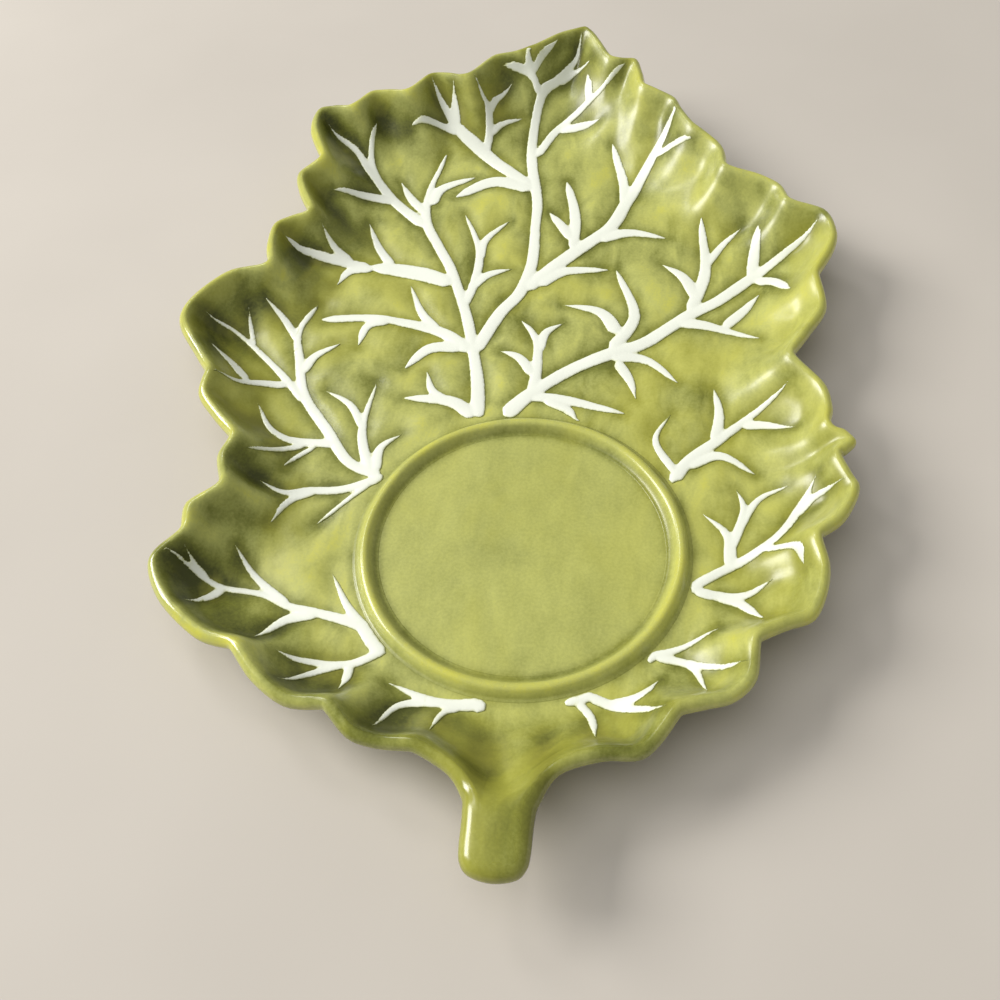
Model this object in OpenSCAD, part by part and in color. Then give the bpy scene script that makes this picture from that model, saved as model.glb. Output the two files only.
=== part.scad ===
// Leaf shaped serving plate with a ring fenced dip well, a stub stem and raised white veins.
// All lengths are in millimetres. Z is up, +Y runs from the stem to the tip of the leaf,
// and the origin lies on the table under the middle of the footprint.

/* [Show] */
// Node to draw, or all of them

/* [Leaf plan] */
// Length of the leaf from the root of the stem to the tip
leaf_l = 276; // [262:1:300]
// Width of the leaf across its widest lobes
leaf_w = 191; // [182:1:210]

/* [Rim] */
// Height of the rim above the table along the stem half
side_h = 19.5; // [14:0.5:22]
// Height of the rim above the table at the tip
tip_h = 29; // [20:0.5:34]
// Rise of the lip from the crest of a lobe to the fold between two lobes
fold_h = 0.4; // [0:0.4:4]
// Distance over which one fold dies away along the rim
fold_reach = 3; // [2:0.5:6]
// Thickness of the fired clay
wall_t = 5; // [4:0.25:6]
// Width of the sloping bank inside the rim along the stem half
bank_w = 20; // [16:1:24]
// Width of the sloping bank inside the rim at the tip
tip_bank_w = 46; // [36:1:56]

/* [Stem] */
// Distance of the middle of the stem to the right of the middle of the leaf
stem_x = 13.5; // [11:0.5:16]
// Width of the stem at its root
stem_w = 16; // [13:0.5:18]
// Length of the stem beyond the leaf
stem_l = 17; // [12:1:24]

/* [Dip well] */
// Distance of the middle of the dip well to the right of the middle of the leaf
well_x = 11; // [6:0.5:14]
// Distance of the middle of the dip well from the root of the stem
well_up = 69.4; // [68:0.2:76]
// Radius of the dip well inside its ring
ring_in_r = 37; // [33:0.5:38]
// Width of the ring at its base
ring_w = 5.8; // [4:0.2:6.4]
// Height of the ring above the floor of the plate
ring_h = 2.4; // [2:0.1:4]
// Flat floor kept free around the ring
ring_apron = 3.5; // [3:0.5:5]
// Width over which the bank fades in outside that flat floor
apron_fade = 4; // [3:0.5:6]

/* [Foot ring] */
// Height of the foot ring below the underside of the plate
foot_h = 2; // [1.5:0.25:3]
// Width of the foot ring where it stands on the table
foot_w = 4; // [3:0.5:6]
// Radius of the foot ring round the stem end
foot_low_r = 38; // [34:1:40]
// Radius of the foot ring round the tip end
foot_high_r = 32; // [28:1:34]
// Distance of the middle of the stem end of the foot ring from the root of the stem
foot_low_up = 78; // [74:1:84]
// Distance of the middle of the tip end of the foot ring from the root of the stem
foot_high_up = 183; // [170:1:188]
// Distance of the stem end of the foot ring to the right of the middle of the leaf
foot_low_x = 5; // [0:1:8]

/* [Veins] */
// Width of the widest white vein
vein_w = 5; // [3.5:0.25:6]
// Height of the widest white vein above the glaze
vein_h = 0.9; // [0.6:0.1:1.4]
// Depth to which the veins are sunk into the glaze
vein_sink = 0.3; // [0.3:0.1:0.8]
// Least distance of a vein from the outer edge of the lip
vein_edge = 3.6; // [3:0.2:5]
// Least distance of a vein from the foot of the dip ring
vein_gap = 1.6; // [1:0.2:3]

/* [Hidden] */

glaze = [0.62, 0.64, 0.27];
bare_clay = [0.80, 0.72, 0.60];
white_slip = [0.90, 0.90, 0.74];

half_l = leaf_l / 2;
half_w = leaf_w / 2;
floor_z = foot_h + wall_t;
root_y = -half_l;
well = [well_x, root_y + well_up];
ring_out_r = ring_in_r + ring_w;
ring_facets = 72;

// Shape of the bank: 1 is a straight ramp, more is a softer bowl.
bank_curve = 2.1;
// How much thicker the clay is where it turns up into the rim.
bank_thicken = 0.25;
// How far each row of facets runs from the lip towards the spine of the leaf.
reach_share = 0.8;
// The spine point that a rim point looks at, as a share of its distance from the well.
spine_up_share = 0.5;
spine_down_share = 0.1;
// Least slant that is still allowed for when the lip is laid inside the outline.
slant_share = 0.55;
curve_steps = 2;
// Less makes the corner of the rim in each fold sharper.
fold_bend_share = 0.35;

// The lip in section, from its crest round the outside to its underside.
// Each row is how far in and how far down, as shares of the wall thickness.
lip_shares = [[0.3, 0], [0.05, 0.22], [0, 0.5], [0.12, 0.85], [0.5, 1.1]];
edge_share = lip_shares[len(lip_shares) - 1][1];

// Rows of facets on the top and the underside, as shares of the way in to the spine.
top_shares = [1, 0.48, 0.39, 0.31, 0.25, 0.19, 0.14, 0.09, 0.05];
under_shares = [0.1, 0.22, 1];
// The facets on the floor run in to a plain round face in the middle of the dip well.
well_face_share = 0.4;

// The rim, from the tip round the left side down to the stem.
// Each row is a share of the half width, a share of the half length and a fold share,
// which is 0 on the crest of a lobe and 1 in the fold between two lobes.
left_rim_shares = [
    [0.14, 1, 0], [0.05, 0.97, 0.4], [-0.03, 0.92, 1], [-0.1, 0.9, 0.4], [-0.18, 0.89, 0],
    [-0.26, 0.81, 1], [-0.33, 0.82, 0.4], [-0.4, 0.81, 0], [-0.46, 0.75, 1],
    [-0.52, 0.76, 0.4], [-0.6, 0.75, 0], [-0.65, 0.69, 1], [-0.71, 0.69, 0.4],
    [-0.77, 0.68, 0], [-0.77, 0.6, 0.4], [-0.71, 0.5, 1], [-0.77, 0.45, 0],
    [-0.75, 0.39, 0.4], [-0.7, 0.32, 1], [-0.75, 0.31, 0.4], [-0.8, 0.28, 0],
    [-0.8, 0.2, 0.4], [-0.78, 0.15, 1], [-0.89, 0.13, 0.4], [-0.97, 0.06, 0.4], [-1, 0, 0],
    [-0.98, -0.05, 0.4], [-0.91, -0.13, 0.4], [-0.85, -0.18, 1], [-0.85, -0.23, 0],
    [-0.79, -0.29, 0.4], [-0.72, -0.34, 1], [-0.74, -0.38, 0], [-0.7, -0.45, 1],
    [-0.78, -0.5, 0.4], [-0.77, -0.56, 1], [-0.82, -0.6, 0.4], [-0.82, -0.64, 0],
    [-0.75, -0.71, 0.4], [-0.64, -0.77, 0], [-0.55, -0.79, 1], [-0.48, -0.84, 0.4],
    [-0.39, -0.88, 0], [-0.29, -0.88, 1], [-0.22, -0.92, 0.4], [-0.16, -0.93, 0],
    [-0.07, -0.94, 1], [0.01, -0.97, 0.4]
];

// The rim again, from the stem up the right side to the tip.
right_rim_shares = [
    [0.27, -0.95, 0.4], [0.36, -0.93, 0.4], [0.44, -0.92, 0], [0.49, -0.89, 0.4],
    [0.53, -0.84, 1], [0.59, -0.82, 0.4], [0.65, -0.81, 0], [0.7, -0.77, 0.4],
    [0.71, -0.7, 1], [0.78, -0.67, 0.4], [0.85, -0.65, 0], [0.88, -0.6, 0.4],
    [0.89, -0.54, 0.4], [0.88, -0.49, 1], [0.94, -0.45, 0.4], [0.98, -0.38, 0],
    [0.97, -0.34, 0.4], [0.94, -0.31, 0.6], [0.96, -0.29, 0.4], [0.99, -0.27, 0],
    [0.96, -0.24, 0.4], [0.93, -0.23, 0.6], [0.93, -0.19, 0], [0.92, -0.13, 0.4],
    [0.84, -0.06, 1], [0.89, 0.01, 0.4], [0.95, 0.08, 0], [0.93, 0.17, 1],
    [0.98, 0.25, 0.4], [1, 0.32, 0], [0.97, 0.38, 0.4], [0.86, 0.4, 1], [0.84, 0.46, 0],
    [0.76, 0.49, 0.4], [0.67, 0.51, 1], [0.65, 0.58, 0], [0.56, 0.64, 1], [0.52, 0.7, 0.4],
    [0.48, 0.75, 0], [0.39, 0.78, 1], [0.37, 0.84, 0.4], [0.34, 0.88, 0], [0.27, 0.88, 1],
    [0.22, 0.94, 0.4], [0.18, 0.99, 0.4]
];
root_fold_share = 0.4;

// The stem from its root to its end.
// Each row is a share of its length, of its width and of the thickness of the lip.
stem_shares = [
    [0, 1, 1], [0.14, 0.95, 1.02], [0.3, 0.92, 1.08], [0.5, 0.91, 1.2], [0.68, 0.9, 1.32],
    [0.82, 0.82, 1.3], [0.92, 0.66, 1.1], [0.98, 0.42, 0.75], [1, 0.16, 0.35]
];
stem_sides = 20;
// 1 makes the stem oval in section, less makes it squarer.
stem_square = 0.6;

// The strokes of the white veins.
// Each stroke is a row of points: a share of the half width, a share of the half length
// and the width there as a share of the widest vein. Twigs have two points.
vein_centre_shares = [
    // Left trunk and its branches
    [[-0.05, -0.2, 0.95], [-0.07, -0.1, 0.85], [-0.1, -0.01, 0.75], [-0.15, 0.1, 0.75],
        [-0.21, 0.23, 0.75], [-0.27, 0.31, 0.75], [-0.33, 0.4, 0.75], [-0.34, 0.52, 0.5],
        [-0.31, 0.64, 0.3]],
    [[-0.33, 0.38, 0.9], [-0.46, 0.47, 0.8], [-0.56, 0.56, 0.6], [-0.62, 0.61, 0.4],
        [-0.72, 0.65, 0.2]],
    [[-0.45, 0.47, 0.9], [-0.54, 0.47, 0.6], [-0.66, 0.45, 0.25]],
    [[-0.33, 0.46, 0.85], [-0.3, 0.52, 0.6], [-0.2, 0.57, 0.4]],
    [[-0.2, 0.2, 1], [-0.33, 0.22, 1], [-0.49, 0.24, 0.85], [-0.62, 0.25, 0.5],
        [-0.76, 0.26, 0.25]],
    [[-0.11, -0.01, 1], [-0.22, 0.04, 0.85], [-0.36, 0.07, 0.75], [-0.46, 0.07, 0.75],
        [-0.6, 0.06, 0.7]],
    [[-0.11, 0, 0.9], [-0.23, -0.01, 0.65], [-0.3, -0.07, 0.4]],
    [[-0.06, -0.19, 0.9], [-0.14, -0.16, 0.65], [-0.28, -0.15, 0.4]],
    [[-0.15, 0.12, 0.7], [-0.14, 0.19, 0.65], [-0.13, 0.28, 0.6], [-0.16, 0.35, 0.4],
        [-0.2, 0.43, 0.25]],
    [[-0.52, 0.52, 0.5], [-0.57, 0.68, 0.2]],
    [[-0.34, 0.43, 0.7], [-0.45, 0.54, 0.2]],
    [[-0.41, 0.24, 0.7], [-0.52, 0.38, 0.2]],
    [[-0.55, 0.25, 0.55], [-0.65, 0.3, 0.2]],
    [[-0.47, 0.24, 0.75], [-0.58, 0.17, 0.3]],
    [[-0.22, 0.04, 0.7], [-0.34, 0.18, 0.2]],
    [[-0.38, 0.07, 0.7], [-0.46, -0.01, 0.3]],
    [[-0.13, -0.16, 0.6], [-0.23, -0.08, 0.25]],
    [[-0.13, 0.27, 0.65], [-0.05, 0.41, 0.2]],
    [[-0.13, 0.19, 0.65], [-0.02, 0.25, 0.25]],
    // Middle trunk and its branches
    [[-0.1, -0.02, 0.9], [-0.03, 0.1, 0.9], [0.02, 0.18, 0.85], [0.04, 0.27, 0.75],
        [0.04, 0.4, 0.7], [0.03, 0.49, 0.75], [0, 0.62, 0.8], [-0.01, 0.73, 0.7],
        [0.01, 0.82, 0.55], [0.06, 0.87, 0.5], [0.1, 0.91, 0.45], [0.14, 0.97, 0.25]],
    [[0.01, 0.54, 1], [-0.11, 0.62, 1], [-0.2, 0.67, 0.9], [-0.25, 0.69, 0.7],
        [-0.29, 0.72, 0.6], [-0.38, 0.79, 0.25]],
    [[-0.17, 0.65, 0.6], [-0.16, 0.71, 0.6], [-0.17, 0.77, 0.55], [-0.22, 0.8, 0.25]],
    [[0.01, 0.53, 1], [-0.12, 0.55, 0.85], [-0.25, 0.5, 0.65]],
    [[0.01, 0.66, 0.7], [0.07, 0.75, 0.65], [0.17, 0.8, 0.55], [0.23, 0.82, 0.4],
        [0.31, 0.86, 0.2]],
    [[0.06, 0.87, 0.6], [0.2, 0.91, 0.2]],
    [[0, 0.82, 0.55], [-0.13, 0.86, 0.25]],
    [[0, 0.82, 0.65], [-0.03, 0.87, 0.5], [-0.05, 0.95, 0.3]],
    [[-0.03, 0.86, 0.4], [0.05, 0.94, 0.2]],
    [[-0.28, 0.71, 0.6], [-0.3, 0.79, 0.3]],
    [[-0.27, 0.7, 0.55], [-0.44, 0.69, 0.35]],
    [[-0.17, 0.75, 0.45], [-0.1, 0.84, 0.2]],
    [[-0.16, 0.7, 0.5], [-0.05, 0.77, 0.2]],
    [[0.18, 0.81, 0.55], [0.17, 0.87, 0.35]],
    [[0.08, 0.75, 0.65], [0.23, 0.76, 0.4]],
    // Right branch of the trunk
    [[0.02, 0.17, 1], [0.12, 0.26, 1], [0.21, 0.33, 1], [0.3, 0.41, 1], [0.35, 0.5, 0.9],
        [0.4, 0.6, 0.8], [0.45, 0.66, 0.65], [0.5, 0.71, 0.3]],
    [[0.34, 0.48, 0.7], [0.33, 0.57, 0.55], [0.28, 0.68, 0.4]],
    [[0.25, 0.36, 0.95], [0.36, 0.39, 0.65], [0.48, 0.37, 0.3]],
    [[0.17, 0.3, 0.7], [0.17, 0.44, 0.6], [0.13, 0.56, 0.45]],
    [[0.07, 0.2, 0.9], [0.15, 0.24, 0.65], [0.29, 0.25, 0.35]],
    [[0.43, 0.62, 0.6], [0.54, 0.6, 0.2]],
    [[0.17, 0.36, 0.75], [0.08, 0.44, 0.35]]
];

vein_right_upper_shares = [
    [[0.02, -0.19, 1], [0.07, -0.14, 0.9], [0.13, -0.1, 0.9], [0.21, -0.05, 0.9],
        [0.32, 0, 0.9], [0.42, 0.03, 0.9], [0.55, 0.12, 0.85], [0.64, 0.17, 0.8],
        [0.75, 0.24, 0.75], [0.85, 0.31, 0.5], [0.93, 0.34, 0.2]],
    [[0.09, -0.12, 0.8], [0.1, -0.06, 0.7], [0.1, 0.01, 0.6], [0.07, 0.05, 0.4],
        [0.04, 0.08, 0.25]],
    [[0.09, -0.12, 0.75], [0.2, -0.14, 0.55], [0.37, -0.16, 0.35]],
    [[0.32, 0.01, 0.8], [0.38, 0.11, 0.6], [0.32, 0.25, 0.35]],
    [[0.35, 0.06, 0.9], [0.28, 0.12, 0.6], [0.16, 0.14, 0.25]],
    [[0.31, -0.01, 0.75], [0.42, -0.02, 0.5], [0.52, -0.07, 0.3]],
    [[0.55, 0.12, 0.8], [0.6, 0.26, 0.6], [0.59, 0.42, 0.4]],
    [[0.51, 0.1, 0.9], [0.61, 0.09, 0.6], [0.76, 0.06, 0.25]],
    [[0.75, 0.23, 0.7], [0.76, 0.32, 0.5], [0.77, 0.38, 0.35]],
    [[0.1, -0.01, 0.7], [0.17, 0.08, 0.2]],
    [[0.09, -0.07, 0.7], [-0.02, -0.01, 0.3]],
    [[0.14, -0.13, 0.8], [0.24, -0.19, 0.25]],
    [[0.34, -0.02, 0.7], [0.4, -0.12, 0.2]],
    [[0.58, 0.17, 0.9], [0.46, 0.28, 0.2]],
    [[0.6, 0.28, 0.55], [0.72, 0.4, 0.2]],
    [[0.66, 0.08, 0.7], [0.77, 0.19, 0.25]],
    [[0.76, 0.24, 0.8], [0.85, 0.17, 0.3]]
];

vein_left_upper_shares = [
    [[-0.29, -0.35, 0.7], [-0.4, -0.32, 0.7], [-0.49, -0.24, 0.7], [-0.58, -0.15, 0.65],
        [-0.63, -0.06, 0.65], [-0.66, 0.02, 0.5], [-0.62, 0.1, 0.3]],
    [[-0.57, -0.17, 0.65], [-0.69, -0.09, 0.5], [-0.8, -0.02, 0.4], [-0.86, 0.01, 0.3],
        [-0.93, 0.02, 0.2]],
    [[-0.44, -0.29, 0.7], [-0.55, -0.28, 0.6], [-0.61, -0.27, 0.5], [-0.66, -0.25, 0.35],
        [-0.71, -0.2, 0.2]],
    [[-0.33, -0.35, 0.7], [-0.38, -0.24, 0.5], [-0.37, -0.11, 0.2]],
    [[-0.29, -0.36, 0.6], [-0.4, -0.39, 0.55], [-0.49, -0.4, 0.5], [-0.56, -0.41, 0.35],
        [-0.63, -0.4, 0.2]],
    [[-0.66, 0, 0.55], [-0.77, 0.09, 0.2]],
    [[-0.61, -0.1, 0.7], [-0.51, -0.01, 0.25]],
    [[-0.78, -0.03, 0.35], [-0.83, 0.07, 0.15]],
    [[-0.64, -0.13, 0.6], [-0.82, -0.17, 0.25]],
    [[-0.75, -0.15, 0.45], [-0.89, -0.06, 0.2]],
    [[-0.54, -0.28, 0.5], [-0.66, -0.35, 0.2]],
    [[-0.38, -0.23, 0.55], [-0.52, -0.14, 0.2]],
    [[-0.32, -0.34, 0.7], [-0.27, -0.25, 0.2]],
    [[-0.47, -0.4, 0.55], [-0.57, -0.48, 0.2]],
    [[-0.32, -0.37, 0.35], [-0.45, -0.48, 0.2]]
];

vein_left_lower_shares = [
    [[-0.18, -0.72, 0.8], [-0.27, -0.69, 0.7], [-0.38, -0.66, 0.6], [-0.47, -0.65, 0.5],
        [-0.54, -0.64, 0.4], [-0.64, -0.63, 0.4], [-0.69, -0.62, 0.35],
        [-0.75, -0.61, 0.25], [-0.79, -0.6, 0.15]],
    [[-0.2, -0.71, 0.65], [-0.3, -0.66, 0.4], [-0.37, -0.58, 0.2]],
    [[-0.19, -0.72, 0.55], [-0.27, -0.76, 0.5], [-0.37, -0.77, 0.4], [-0.45, -0.76, 0.2]],
    [[-0.46, -0.65, 0.5], [-0.64, -0.55, 0.2]],
    [[-0.68, -0.62, 0.4], [-0.74, -0.58, 0.2]],
    [[-0.65, -0.63, 0.55], [-0.71, -0.69, 0.25]],
    [[-0.38, -0.66, 0.65], [-0.52, -0.73, 0.25]],
    [[-0.28, -0.76, 0.45], [-0.41, -0.82, 0.2]],
    [[-0.26, -0.75, 0.5], [-0.28, -0.82, 0.2]]
];

vein_bottom_left_shares = [
    [[0.07, -0.83, 0.7], [-0.04, -0.83, 0.45], [-0.17, -0.79, 0.2]],
    [[-0.01, -0.83, 0.45], [-0.12, -0.84, 0.3], [-0.17, -0.88, 0.2]],
    [[0.01, -0.83, 0.4], [-0.04, -0.89, 0.2]]
];

vein_bottom_right_shares = [
    [[0.26, -0.82, 0.45], [0.31, -0.8, 0.5], [0.37, -0.8, 0.5], [0.43, -0.81, 0.4],
        [0.48, -0.83, 0.3]],
    [[0.36, -0.8, 0.5], [0.43, -0.78, 0.35], [0.48, -0.75, 0.2]],
    [[0.28, -0.81, 0.4], [0.34, -0.87, 0.3]]
];

vein_right_lower_shares = [
    [[0.45, -0.71, 0.4], [0.52, -0.69, 0.3], [0.63, -0.65, 0.2]],
    [[0.46, -0.7, 0.5], [0.55, -0.72, 0.35], [0.59, -0.77, 0.2]],
    [[0.53, -0.71, 0.4], [0.67, -0.74, 0.2]]
];

vein_right_mid_shares = [
    [[0.55, -0.57, 0.6], [0.63, -0.53, 0.6], [0.72, -0.48, 0.55], [0.79, -0.44, 0.5],
        [0.83, -0.38, 0.4], [0.86, -0.32, 0.2]],
    [[0.81, -0.41, 0.5], [0.88, -0.38, 0.35], [0.94, -0.37, 0.2]],
    [[0.66, -0.51, 0.7], [0.66, -0.44, 0.5], [0.59, -0.4, 0.2]],
    [[0.66, -0.48, 0.55], [0.7, -0.39, 0.4], [0.68, -0.33, 0.2]],
    [[0.68, -0.44, 0.45], [0.74, -0.36, 0.3], [0.82, -0.33, 0.2]],
    [[0.56, -0.57, 0.6], [0.68, -0.57, 0.4], [0.76, -0.54, 0.2]],
    [[0.73, -0.48, 0.4], [0.83, -0.53, 0.2]],
    [[0.64, -0.57, 0.5], [0.74, -0.63, 0.3]]
];

vein_right_high_shares = [
    [[0.51, -0.33, 0.8], [0.56, -0.27, 0.75], [0.63, -0.22, 0.7], [0.72, -0.16, 0.5],
        [0.82, -0.11, 0.25]],
    [[0.52, -0.31, 0.55], [0.47, -0.23, 0.35], [0.5, -0.16, 0.15]],
    [[0.63, -0.22, 0.65], [0.64, -0.16, 0.5], [0.62, -0.09, 0.3]],
    [[0.55, -0.29, 0.7], [0.64, -0.26, 0.5], [0.73, -0.3, 0.3]],
    [[0.7, -0.18, 0.65], [0.84, -0.19, 0.2]]
];
// The thinnest hair of a vein keeps this share of the full height.
vein_low_share = 0.55;
// How far a stroke starts back inside the one before it, as a share of its own width.
vein_lap_share = 0.5;
// Longest piece of a stroke that runs straight over the curved bank, in widest veins.
vein_run_share = 2.4;

// Outline of the leaf

function unit_clamp(v) = max(0, min(1, v));

function rim_points(rows) = [for (r = rows) [r[0] * half_w, r[1] * half_l]];

rim_knots = concat(
    rim_points(left_rim_shares),
    [[stem_x - stem_w / 2, root_y], [stem_x + stem_w / 2, root_y]],
    rim_points(right_rim_shares)
);
knot_folds = concat(
    [for (r = left_rim_shares) r[2]],
    [root_fold_share, root_fold_share],
    [for (r = right_rim_shares) r[2]]
);
knot_count = len(rim_knots);
root_knot = len(left_rim_shares);

function knot(i) = rim_knots[(i + knot_count) % knot_count];

function straight(a, b, t) = a + (b - a) * t;

// How strongly the rim keeps its way through a knot. A fold is nearly a corner.
function knot_way(i) =
    (knot(i + 1) - knot(i - 1)) / 2
        * (knot_folds[(i + knot_count) % knot_count] == 1 ? fold_bend_share : 1);

// A smooth curve through the knots, kept straight across the root of the stem.
function rim_at(i, t) =
    let (b = knot(i), c = knot(i + 1), ease = t * t * (3 - 2 * t))
    i == root_knot
        ? straight(b, c, t)
        : straight(b, c, ease)
            + knot_way(i) * t * (1 - t) * (1 - t) - knot_way(i + 1) * t * t * (1 - t);

rim = [for (i = [0 : knot_count - 1]) for (j = [0 : curve_steps - 1]) rim_at(i, j / curve_steps)];
rim_folds = [
    for (i = [0 : knot_count - 1]) for (j = [0 : curve_steps - 1])
        straight(knot_folds[i], knot_folds[(i + 1) % knot_count], j / curve_steps)
];
rim_count = len(rim);
rim_ones = [for (p = rim) 1];
rim_edges = [
    for (i = [0 : rim_count - 1])
        let (a = rim[i], run = rim[(i + 1) % rim_count] - a) [a, run, run * run]
];

function at_root(k) = k >= root_knot * curve_steps && k <= (root_knot + 1) * curve_steps;

// Height of the glazed floor and bank over any point of the plan

function rim_dist(p) = min([
    for (e = rim_edges) norm(p - e[0] - e[1] * unit_clamp((p - e[0]) * e[1] / e[2]))
]);

function fold_at(p) =
    let (near = [for (q = rim) 1 / pow((p - q) * (p - q) + fold_reach * fold_reach, 2)])
    (near * rim_folds) / (near * rim_ones);

function tip_share(y) = pow(max(0, y / half_l), 2);

function rim_rise(p) =
    straight(side_h, tip_h, tip_share(p[1])) + fold_h * (fold_at(p) - 1 / 2) - floor_z;

function bank_at(y) = straight(bank_w, tip_bank_w, tip_share(y));

function off_ring(p) = unit_clamp((norm(p - well) - ring_out_r - ring_apron) / apron_fade);

function level(p) =
    let (up = unit_clamp(1 - rim_dist(p) / bank_at(p[1])))
    up > 0 ? floor_z + off_ring(p) * rim_rise(p) * pow(up, bank_curve) : floor_z;

function under_level(p) =
    let (z = level(p))
    z - wall_t * (1 + bank_thicken * unit_clamp((z - floor_z) / side_h));

root_z = floor_z + rim_rise([stem_x, root_y]);
edge_t = edge_share * wall_t;

// Rows of points across the leaf, each looking in from the rim to the spine

function spine(p) =
    let (away = p[1] - well[1])
    [well[0], well[1] + away * (away > 0 ? spine_up_share : spine_down_share)];

function slant(k) =
    let (
        along = rim[(k + 1) % rim_count] - rim[(k + rim_count - 1) % rim_count],
        look = spine(rim[k]) - rim[k]
    )
    abs(along[0] * look[1] - along[1] * look[0]) / (norm(along) * norm(look));

looks = [for (p = rim) spine(p) - p];
lip_in = [for (k = [0 : rim_count - 1]) wall_t / max(slant(k), slant_share)];
edge_levels = [for (p = rim) floor_z + rim_rise(p)];

function lip_row(s) = [
    for (k = [0 : rim_count - 1])
        let (
            away = at_root(k) ? 0 : s[0] * lip_in[k],
            p = rim[k] + looks[k] * away / norm(looks[k])
        )
        [p[0], p[1], edge_levels[k] - s[1] * wall_t]
];

function deep_point(k, share, start) =
    let (reach = norm(looks[k]))
    rim[k] + looks[k] * straight(start, reach_share * reach, share) / reach;

function top_row(share) = [
    for (k = [0 : rim_count - 1])
        let (p = deep_point(k, share, lip_shares[0][0] * lip_in[k])) [p[0], p[1], level(p)]
];

function under_row(share) = [
    for (k = [0 : rim_count - 1])
        let (p = deep_point(k, share, lip_shares[len(lip_shares) - 1][0] * lip_in[k]))
        [p[0], p[1], under_level(p)]
];

// A closed skin over rows of points: a cap, the bands between the rows and a second cap.
module skin(rows) {
    across = len(rows[0]);
    last = len(rows) - 1;
    first_cap = [for (k = [0 : across - 1]) across - 1 - k];
    last_cap = [for (k = [0 : across - 1]) last * across + k];
    bands = [
        for (i = [0 : last - 1]) for (k = [0 : across - 1])
            let (
                a = i * across + k,
                b = i * across + (k + 1) % across,
                c = b + across,
                d = a + across
            )
            each [[a, b, c], [a, c, d]]
    ];
    polyhedron(
        points = [for (row = rows) each row],
        faces = concat([first_cap], bands, [last_cap]),
        convexity = 12
    );
}

function well_row() = [
    for (p = top_row(1))
        let (out = [p[0], p[1]] - well, q = well + out / norm(out) * well_face_share * ring_in_r)
        [q[0], q[1], floor_z]
];

module leaf_body() {
    color(glaze)
        translate([0, stem_l / 2, 0])
            skin(concat(
                [well_row()],
                [for (s = top_shares) top_row(s)],
                [for (s = lip_shares) lip_row(s)],
                [for (s = under_shares) under_row(s)]
            ));
}

// Stem

function squared(v) = sign(v) * pow(abs(v), stem_square);

function stem_row(s) = [
    for (k = [0 : stem_sides - 1])
        let (turn = 360 * k / stem_sides)
        [
            stem_x - s[1] * stem_w / 2 * squared(cos(turn)),
            root_y - s[0] * stem_l,
            root_z - edge_t / 2 + s[2] * edge_t / 2 * squared(sin(turn))
        ]
];

module stem_handle() {
    color(glaze)
        translate([0, stem_l / 2, 0])
            skin([for (s = stem_shares) stem_row(s)]);
}

// Dip ring

module dip_ring() {
    bow = ring_w / 2;
    steps = 10;
    color(glaze)
        translate([well[0], well[1] + stem_l / 2, floor_z])
            rotate_extrude($fn = ring_facets)
                polygon([
                    for (i = [0 : steps])
                        let (turn = 180 * i / steps)
                        [ring_in_r + bow + bow * cos(turn), ring_h * sin(turn)]
                ]);
}

// Foot ring

module foot_plan(inset) {
    hull() {
        translate([foot_low_x, root_y + foot_low_up])
            circle(r = foot_low_r - inset, $fn = ring_facets);
        translate([0, root_y + foot_high_up])
            circle(r = foot_high_r - inset, $fn = ring_facets);
    }
}

module foot_ring() {
    color(bare_clay)
        translate([0, stem_l / 2, 0])
            linear_extrude(foot_h)
                difference() {
                    foot_plan(0);
                    foot_plan(foot_w);
                }
}

// White veins

function off_lip(p) =
    let (gap = rim_dist(p), look = spine(p) - p)
    gap < vein_edge ? p + look * (vein_edge - gap) / norm(look) : p;

function off_dip(p) =
    let (out = norm(p - well), least = ring_out_r + vein_gap)
    out < least ? well + (p - well) * least / out : p;

function vein_point(share) = off_dip(off_lip([share[0] * half_w, share[1] * half_l]));

// One section across a vein: two points down in the glaze and one on its crest.
function vein_section(p, way, share) =
    let (
        side = [-way[1], way[0]] / norm(way) * share * vein_w / 2,
        left = p + side,
        right = p - side,
        left_z = level(left),
        right_z = level(right),
        high = vein_h * straight(vein_low_share, 1, share)
    )
    [
        [left[0], left[1], left_z - vein_sink],
        [right[0], right[1], right_z - vein_sink],
        [p[0], p[1], (left_z + right_z) / 2 + high]
    ];

// The stroke starts a little behind its first point, inside the stroke it grows from.
module vein_stroke(row) {
    knots = [for (r = row) vein_point(r)];
    first_way = knots[1] - knots[0];
    lap = row[0][2] * vein_w * vein_lap_share;
    bends = [
        for (i = [0 : len(row) - 1])
            i == 0 ? off_dip(knots[0] - first_way * lap / norm(first_way)) : knots[i]
    ];
    // Long runs are cut into even pieces, and each cut keeps the place and the width there.
    stops = concat(
        [
            for (i = [0 : len(row) - 2])
                let (pieces = ceil(norm(bends[i + 1] - bends[i]) / (vein_run_share * vein_w)))
                for (j = [0 : pieces - 1])
                    [
                        straight(bends[i], bends[i + 1], j / pieces),
                        straight(row[i][2], row[i + 1][2], j / pieces)
                    ]
        ],
        [[bends[len(row) - 1], row[len(row) - 1][2]]]
    );
    last = len(stops) - 1;
    sections = [
        for (i = [0 : last])
            vein_section(
                stops[i][0],
                stops[min(i + 1, last)][0] - stops[max(i - 1, 0)][0],
                stops[i][1]
            )
    ];
    if (last == 1)
        hull()
            skin(sections);
    else
        skin(sections);
}

module vein_spray(rows) {
    color(white_slip)
        translate([0, stem_l / 2, 0])
            union()
                for (row = rows)
                    vein_stroke(row);
}

module vein_centre() {
    vein_spray(vein_centre_shares);
}

module vein_right_upper() {
    vein_spray(vein_right_upper_shares);
}

module vein_left_upper() {
    vein_spray(vein_left_upper_shares);
}

module vein_left_lower() {
    vein_spray(vein_left_lower_shares);
}

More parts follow.
